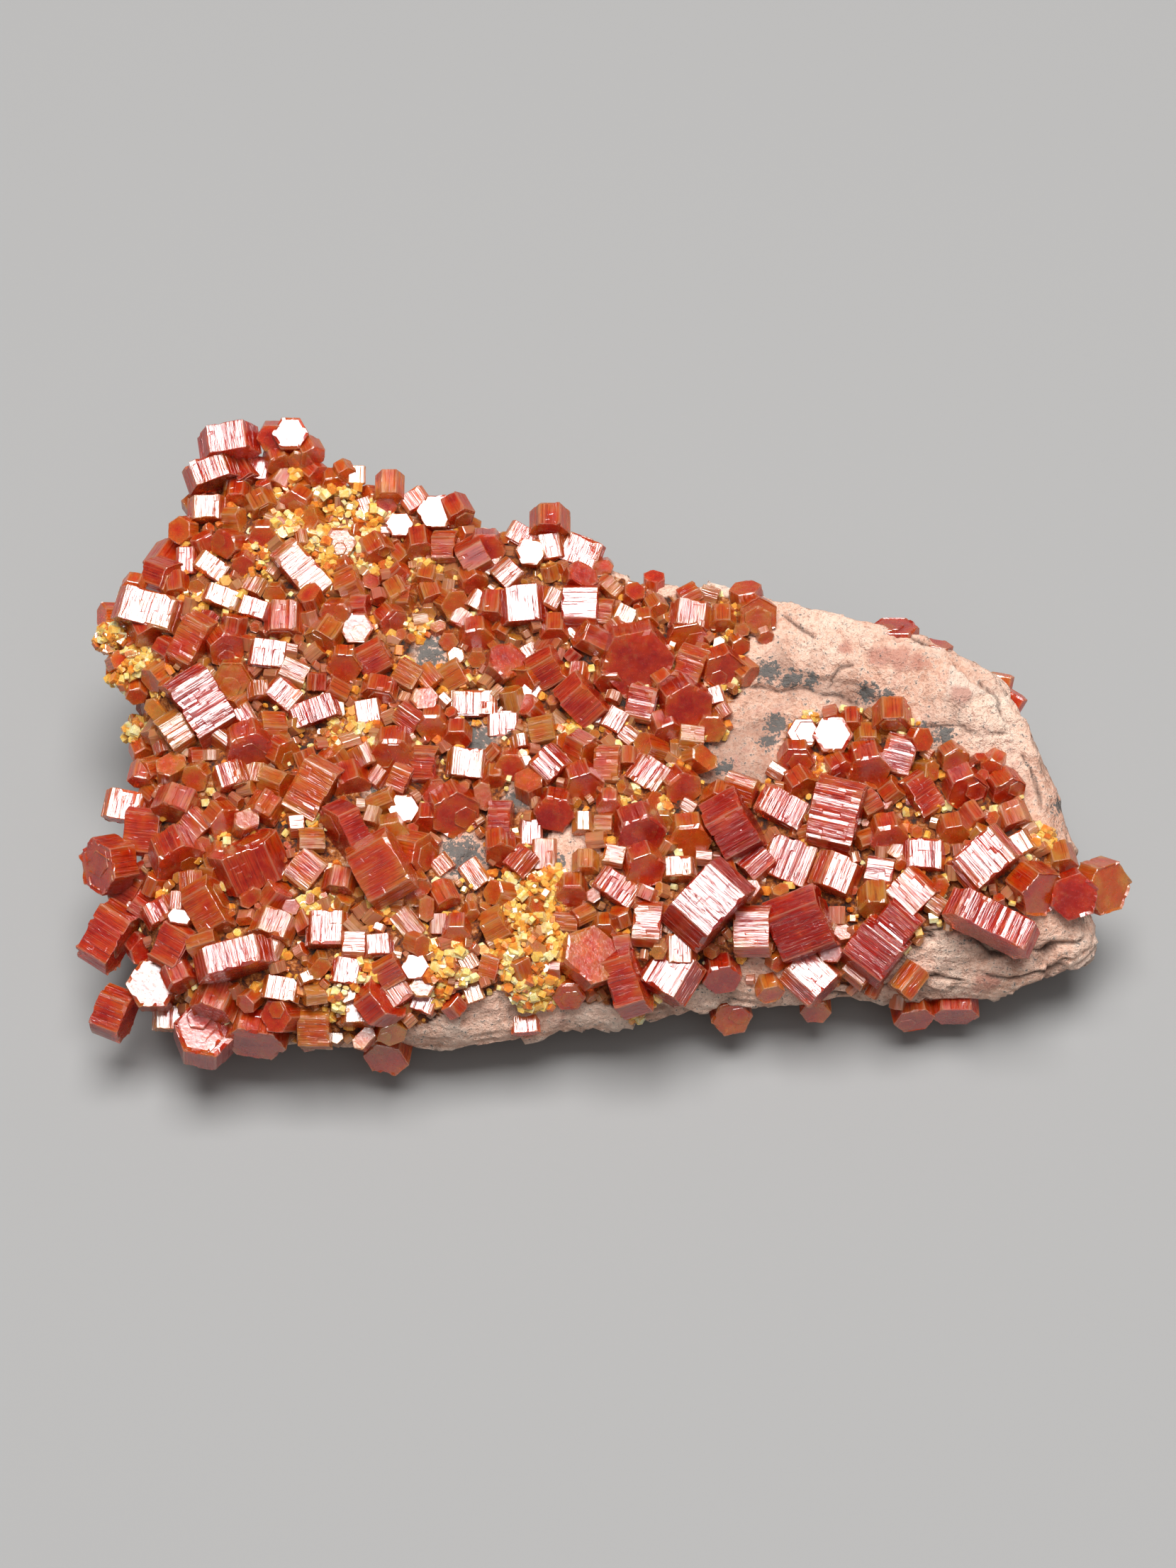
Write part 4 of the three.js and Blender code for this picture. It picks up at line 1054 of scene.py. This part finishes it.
# ---- materials ----
class Nodes:
    """Short names for building one material's nodes. Most give the output of a new node."""

    def __init__(self, name):
        self.material = bpy.data.materials.new(name)
        self.material.use_nodes = True
        self.tree = self.material.node_tree
        self.surface = self.tree.nodes["Principled BSDF"]

    def feed(self, node, inputs):
        """Gives each input its value, or links it to the output given for it."""
        for socket, source in inputs.items():
            if isinstance(source, bpy.types.NodeSocket):
                self.tree.links.new(source, node.inputs[socket])
            else:
                node.inputs[socket].default_value = source

    def add(self, kind, inputs, output=0, **settings):
        node = self.tree.nodes.new(kind)
        for key, value in settings.items():
            setattr(node, key, value)
        self.feed(node, inputs)
        return node.outputs[output]

    def attribute(self, name, output="Fac"):
        """What the mesh says under this name: one number, or a vector for output Vector."""
        return self.add("ShaderNodeAttribute", {}, output, attribute_name=name)

    def place(self):
        """The place on the piece, in metres."""
        return self.add("ShaderNodeTexCoord", {}, "Object")

    def split(self, vector):
        return self.add("ShaderNodeSeparateXYZ", {0: vector}).node.outputs

    def math(self, operation, *values):
        return self.add("ShaderNodeMath", dict(enumerate(values)), operation=operation)

    def plus(self, first, second):
        return self.math("ADD", first, second)

    def times(self, first, second):
        return self.math("MULTIPLY", first, second)

    def stretched(self, vector, factors):
        return self.add("ShaderNodeVectorMath", {0: vector, 1: factors}, operation="MULTIPLY")

    def noise(self, vector, scale, detail, roughness):
        inputs = {"Vector": vector, "Scale": scale, "Detail": detail, "Roughness": roughness}
        return self.add("ShaderNodeTexNoise", inputs, "Fac")

    def span(self, value, low, high, to_low=0.0, to_high=1.0):
        """value from low to high becomes to_low to to_high, and stops there."""
        inputs = dict(enumerate((value, low, high, to_low, to_high)))
        return self.add("ShaderNodeMapRange", inputs)

    def mix(self, share, first, second):
        """first where share is 0, second where it is 1: two colours, or numbers in mix_value."""
        inputs = {"Factor": share, 6: first, 7: second}
        return self.add("ShaderNodeMix", inputs, 2, data_type="RGBA")

    def mix_value(self, share, first, second):
        inputs = {0: share, 2: first, 3: second}
        return self.add("ShaderNodeMix", inputs, data_type="FLOAT")

    def ramp(self, value, stops):
        ramped = self.add("ShaderNodeValToRGB", {0: value})
        elements = ramped.node.color_ramp.elements
        for index, (position, colour) in enumerate(stops):
            if index > 1:
                elements.new(position)
            elements[index].position = position
            elements[index].color = (*colour, 1)
        return ramped

    def tints(self, colour, *steps):
        """colour turns to others in turn, each by most at the most, as value goes low to high."""
        for value, low, high, most, towards in steps:
            colour = self.mix(self.span(value, low, high, 0.0, most), colour, (*towards, 1))
        return colour

    def bump(self, height, distance, strength, **more):
        inputs = {"Height": height, "Distance": distance, "Strength": strength, **more}
        return self.add("ShaderNodeBump", inputs)


# Base colours of the crystals, from thick and dark to thin and pale.
DEEP_RED = (0.66, 0.013, 0.002)
RED = (0.95, 0.06, 0.004)
ORANGE = (1.0, 0.18, 0.01)
AMBER = (1.0, 0.36, 0.045)
CRYSTAL_STOPS = [(0.05, DEEP_RED), (0.35, RED), (0.7, ORANGE), (1.0, AMBER)]
CRYSTAL_GLASS = {
    "IOR": 2.0, "Transmission Weight": 0.66, "Subsurface Weight": 0.25,
    "Subsurface Radius": (1.0, 0.22, 0.08), "Subsurface Scale": 0.0012,
}
ABSORPTION = {"Color": (0.98, 0.5, 0.15, 1), "Density": 200.0}
HONEY_STOPS = [
    (0.0, (0.62, 0.12, 0.015)), (0.35, (0.92, 0.34, 0.04)), (0.7, (1.0, 0.58, 0.13)),
    (1.0, (1.0, 0.83, 0.42)),
]
HONEY_GLASS = {
    "IOR": 1.8, "Transmission Weight": 0.2, "Subsurface Weight": 0.5,
    "Subsurface Radius": (1.0, 0.6, 0.2), "Subsurface Scale": 0.0006,
}
ROCK_STOPS = [
    (0.32, (0.46, 0.22, 0.145)), (0.44, (0.66, 0.37, 0.26)), (0.55, (0.76, 0.48, 0.36)),
    (0.68, (0.82, 0.62, 0.49)),
]
# The ground between the crystals: painted shade in the gaps, dark red and honey-brown crystals, bare
# rock.
DRUSE_AND_SHADE_STOPS = [
    (0.38, (0.03, 0.018, 0.014)), (0.48, (0.14, 0.03, 0.008)), (0.58, (0.36, 0.11, 0.02)),
    (0.68, (0.56, 0.32, 0.2)),
]


def crystal_colour(made, looks, grain, place):
    """Deep red where a crystal is thick, with a painted glow towards its edges and a painted highlight
    right at them, and painted shade and painted sheen in fine lines along its sides.
    """
    tone, kind, own = looks
    painted_edge_light = made.attribute("painted_edge_light")
    clouds = made.noise(place, 520.0, 3, 0.6)
    shade = made.plus(made.times(tone, 0.7), made.span(clouds, 0.3, 0.7, -0.3, 0.3))
    # painted glow: paler towards the edges, standing in for light through the thin edges
    shade = made.plus(shade, made.times(made.math("POWER", painted_edge_light, 1.6), 0.3))
    shade = made.plus(shade, made.span(own, 0.0, 1.0, -0.12, 0.16))
    colour = made.ramp(shade, CRYSTAL_STOPS)
    flaws = made.noise(place, 1300.0, 4, 0.7)
    colour = made.tints(colour, (flaws, 0.56, 0.7, 0.3, (0.98, 0.36, 0.1)))
    lines = made.noise(made.stretched(grain, (6.0, 0.15, 1.0)), 1.0, 2, 0.6)
    on_side = made.math("SUBTRACT", 1.0, kind)
    # painted shade: dark red lines along the striations
    painted_groove_shade = made.times(made.span(lines, 0.46, 0.36, 0.0, 0.5), on_side)
    colour = made.mix(painted_groove_shade, colour, (0.3, 0.01, 0.003, 1))
    # painted sheen: pale pink lines along the striations
    painted_striation_sheen = made.times(made.span(lines, 0.58, 0.68, 0.0, 0.35), on_side)
    colour = made.mix(painted_striation_sheen, colour, (0.98, 0.42, 0.22, 1))
    # painted highlight: a pale pink line right at the edges
    return made.tints(colour, (painted_edge_light, 0.9, 0.99, 0.35, (1.0, 0.55, 0.36)))


def crystal_surface(made, kind, grain):
    """Roughness and relief: grooves along the sides, and mottled ends."""
    streaks = made.noise(made.stretched(grain, (2.6, 0.12, 1.0)), 1.0, 3, 0.6)
    fine_streaks = made.noise(made.stretched(grain, (9.0, 0.25, 1.0)), 1.0, 2, 0.6)
    mottle = made.noise(grain, 2.2, 4, 0.65)
    side_rough = made.span(streaks, 0.3, 0.7, 0.08, 0.24)
    end_rough = made.span(mottle, 0.3, 0.7, 0.14, 0.34)
    roughness = made.mix_value(kind, side_rough, end_rough)
    grooves = made.plus(made.span(streaks, 0.4, 0.43), made.span(streaks, 0.58, 0.61))
    relief = made.plus(streaks, made.times(fine_streaks, 0.8))
    relief = made.plus(relief, made.times(grooves, 1.2))
    height = made.mix_value(kind, relief, mottle)
    made.feed(made.surface, {"Roughness": roughness, "Normal": made.bump(height, 0.00005, 0.7)})


def crystal_material():
    made = Nodes("vanadinite_crystal")
    looks = made.split(made.attribute("looks", "Vector"))
    grain = made.attribute("grain", "Vector")
    colour = crystal_colour(made, looks, grain, made.place())
    made.feed(made.surface, {"Base Color": colour, **CRYSTAL_GLASS})
    crystal_surface(made, looks[1], grain)
    absorption = made.add("ShaderNodeVolumeAbsorption", ABSORPTION)
    made.feed(made.tree.nodes["Material Output"], {"Volume": absorption})
    return made.material


def honey_material():
    made = Nodes("honey_grains")
    looks = made.split(made.attribute("looks", "Vector"))
    spots = made.noise(made.place(), 1500.0, 3, 0.6)
    shade = made.plus(looks[2], made.math("SUBTRACT", spots, 0.5))
    made.feed(made.surface, {
        "Base Color": made.ramp(shade, HONEY_STOPS),
        "Roughness": made.span(spots, 0.3, 0.7, 0.12, 0.4),
        "Normal": made.bump(spots, 0.0001, 0.7),
        **HONEY_GLASS,
    })
    return made.material


def bare_rock_colour(made, place, medium, fine):
    """Pink-buff, with hairline cracks, dark layers on the walls, brown specks, painted shade in low
    places and painted light on high ones.
    """
    broad = made.noise(place, 90.0, 4, 0.6)
    warm = made.plus(made.times(broad, 0.6), made.times(medium, 0.45))
    colour = made.ramp(warm, ROCK_STOPS)
    hairs = made.math("SUBTRACT", made.noise(place, 600.0, 3, 0.6), 0.5)
    hairs = made.span(made.math("ABSOLUTE", hairs), 0.012, 0.003)
    hairs = made.times(hairs, made.span(broad, 0.48, 0.58, 0.0, 0.7))
    colour = made.mix(hairs, colour, (0.2, 0.08, 0.055, 1))
    layers = made.noise(made.stretched(place, (70.0, 70.0, 1100.0)), 1.0, 4, 0.65)
    layers = made.times(made.span(layers, 0.47, 0.38, 0.0, 0.5), made.attribute("wall"))
    colour = made.mix(layers, colour, (0.24, 0.13, 0.09, 1))
    specks = made.noise(place, 4000.0, 4, 0.7)
    relief = made.attribute("relief")
    return made.tints(
        colour,
        (fine, 0.46, 0.66, 0.55, (0.8, 0.64, 0.53)),
        (fine, 0.46, 0.32, 0.5, (0.36, 0.17, 0.12)),
        (specks, 0.6, 0.68, 0.75, (0.2, 0.095, 0.07)),
        # painted shade where the surface is low, painted light where it is high
        (relief, -0.1, -0.4, 0.5, (0.2, 0.11, 0.08)),
        (relief, 0.12, 0.4, 0.45, (0.74, 0.61, 0.51)),
    )


def marked_rock_colour(made, colour, medium, fine):
    """The stains and films over the bare rock, and painted shadow in the cracks and hollows."""
    blotches = made.times(made.math("SUBTRACT", medium, 0.52), 2.2)
    patchy = made.times(made.math("SUBTRACT", fine, 0.5), 3.0)
    return made.tints(
        colour,
        (made.plus(made.attribute("rust"), blotches), 0.1, 0.5, 0.65, (0.4, 0.14, 0.1)),
        (made.plus(made.attribute("film"), patchy), 0.3, 0.5, 0.88, (0.07, 0.085, 0.085)),
        # painted shadow: near black in the cracks and in the hollows under the ledge
        (made.attribute("crack_and_shadow"), 0.3, 0.9, 0.85, (0.06, 0.03, 0.022)),
    )


def rock_material():
    made = Nodes("pink_buff_rock")
    place = made.place()
    medium = made.noise(place, 420.0, 5, 0.65)
    fine = made.noise(place, 2200.0, 4, 0.7)
    colour = bare_rock_colour(made, place, medium, fine)
    colour = marked_rock_colour(made, colour, medium, fine)
    # painted shade between the crystals, with dark red and honey-brown crystals
    drusy_and_shade = made.ramp(made.noise(place, 1100.0, 4, 0.7), DRUSE_AND_SHADE_STOPS)
    made.feed(made.surface, {
        "Base Color": made.mix(made.attribute("druse_and_shade"), colour, drusy_and_shade),
        "Roughness": made.span(fine, 0.3, 0.7, 0.7, 0.95),
        "Specular IOR Level": 0.25,
        "Normal": made.bump(fine, 0.0005, 0.8, Normal=made.bump(medium, 0.001, 0.7)),
    })
    return made.material


# ---- the object ----
def build_crystals():
    material = crystal_material()
    place_all()
    for tries, sizes in GAP_ROUNDS:
        fill_gaps(tries, DISPLAY, CRUST, sizes)
        fill_gaps(tries // LEFT_TRIES, LEFT_SIDE, LEFT_WALL, sizes)
        fill_gaps(tries // BACK_TRIES, BEHIND, BACK_WALL, sizes)
    for place, shell in sorted(SHELLS.items()):
        piece = shell.build(f"vanadinite_{place}", material)
        stem = f"crystals_{place}_"
        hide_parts(*[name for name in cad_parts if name.startswith(stem)])


def build_all():
    build_rock(rock_material())
    build_crystals()
    honey_grains(*GRAIN_COUNTS).build("honey_grains", honey_material())


# ---- floor, light and camera ----
FLOOR_SIZE = 4
FLOOR_COLOUR = (0.27, 0.266, 0.262, 1)
FLOOR_ROUGHNESS = 0.9
FLOOR_GAP = 0.05  # millimetres under the specimen
AIR_COLOUR = (0.97, 0.98, 1.0, 1)
AIR_STRENGTH = 0.12
LAMP_AIM = (0, 0, 0.02)
OVERHEAD = {"place": (0, 0.04, 0.95), "size": 0.54, "power": 15.5}
WIDE_PANEL = {"place": (0.1, -0.7, 1.3), "size": 1.2, "power": 6}
CAMERA_AIM = (-0.77, -4.33)
CAMERA_DISTANCE = 338
CAMERA_LENS = 110
SENSOR = 36


def plain_floor():
    made = Nodes("studio_floor")
    made.feed(made.surface, {"Base Color": FLOOR_COLOUR, "Roughness": FLOOR_ROUGHNESS})
    mesh = bpy.data.meshes.new("floor")
    half = FLOOR_SIZE / 2
    corners = [(-half, -half, 0), (half, -half, 0), (half, half, 0), (-half, half, 0)]
    mesh.from_pydata(corners, [], [(0, 1, 2, 3)])
    mesh.materials.append(made.material)
    floor = put_in_scene("floor", mesh)
    floor.location.z = (ROCK_LOW.z - FLOOR_GAP) * MM


def softbox(name, box):
    light = bpy.data.lights.new(name, "AREA")
    light.shape = "SQUARE"
    light.size = box["size"]
    light.energy = box["power"]
    lamp = put_in_scene(name, light)
    lamp.location = box["place"]
    towards_specimen = Vector(LAMP_AIM) - lamp.location
    lamp.rotation_euler = towards_specimen.to_track_quat("-Z", "Y").to_euler()


def surroundings():
    world = bpy.data.worlds.new("studio")
    world.use_nodes = True
    background = world.node_tree.nodes["Background"]
    background.inputs["Color"].default_value = AIR_COLOUR
    background.inputs["Strength"].default_value = AIR_STRENGTH
    bpy.context.scene.world = world
    bpy.context.scene.view_settings.view_transform = "Standard"


def camera():
    data = bpy.data.cameras.new("camera")
    data.sensor_fit = "HORIZONTAL"
    data.sensor_width = SENSOR
    data.lens = CAMERA_LENS
    data.clip_start = 0.01
    eye = put_in_scene("camera", data)
    aim = MIDDLE + DISPLAY @ Vector((*CAMERA_AIM, 0))
    eye.location = (aim + DISPLAY.col[2] * CAMERA_DISTANCE) * MM
    eye.rotation_euler = DISPLAY.to_euler()
    bpy.context.scene.camera = eye


build_all()
plain_floor()
softbox("overhead", OVERHEAD)
softbox("wide_panel", WIDE_PANEL)
surroundings()
camera()
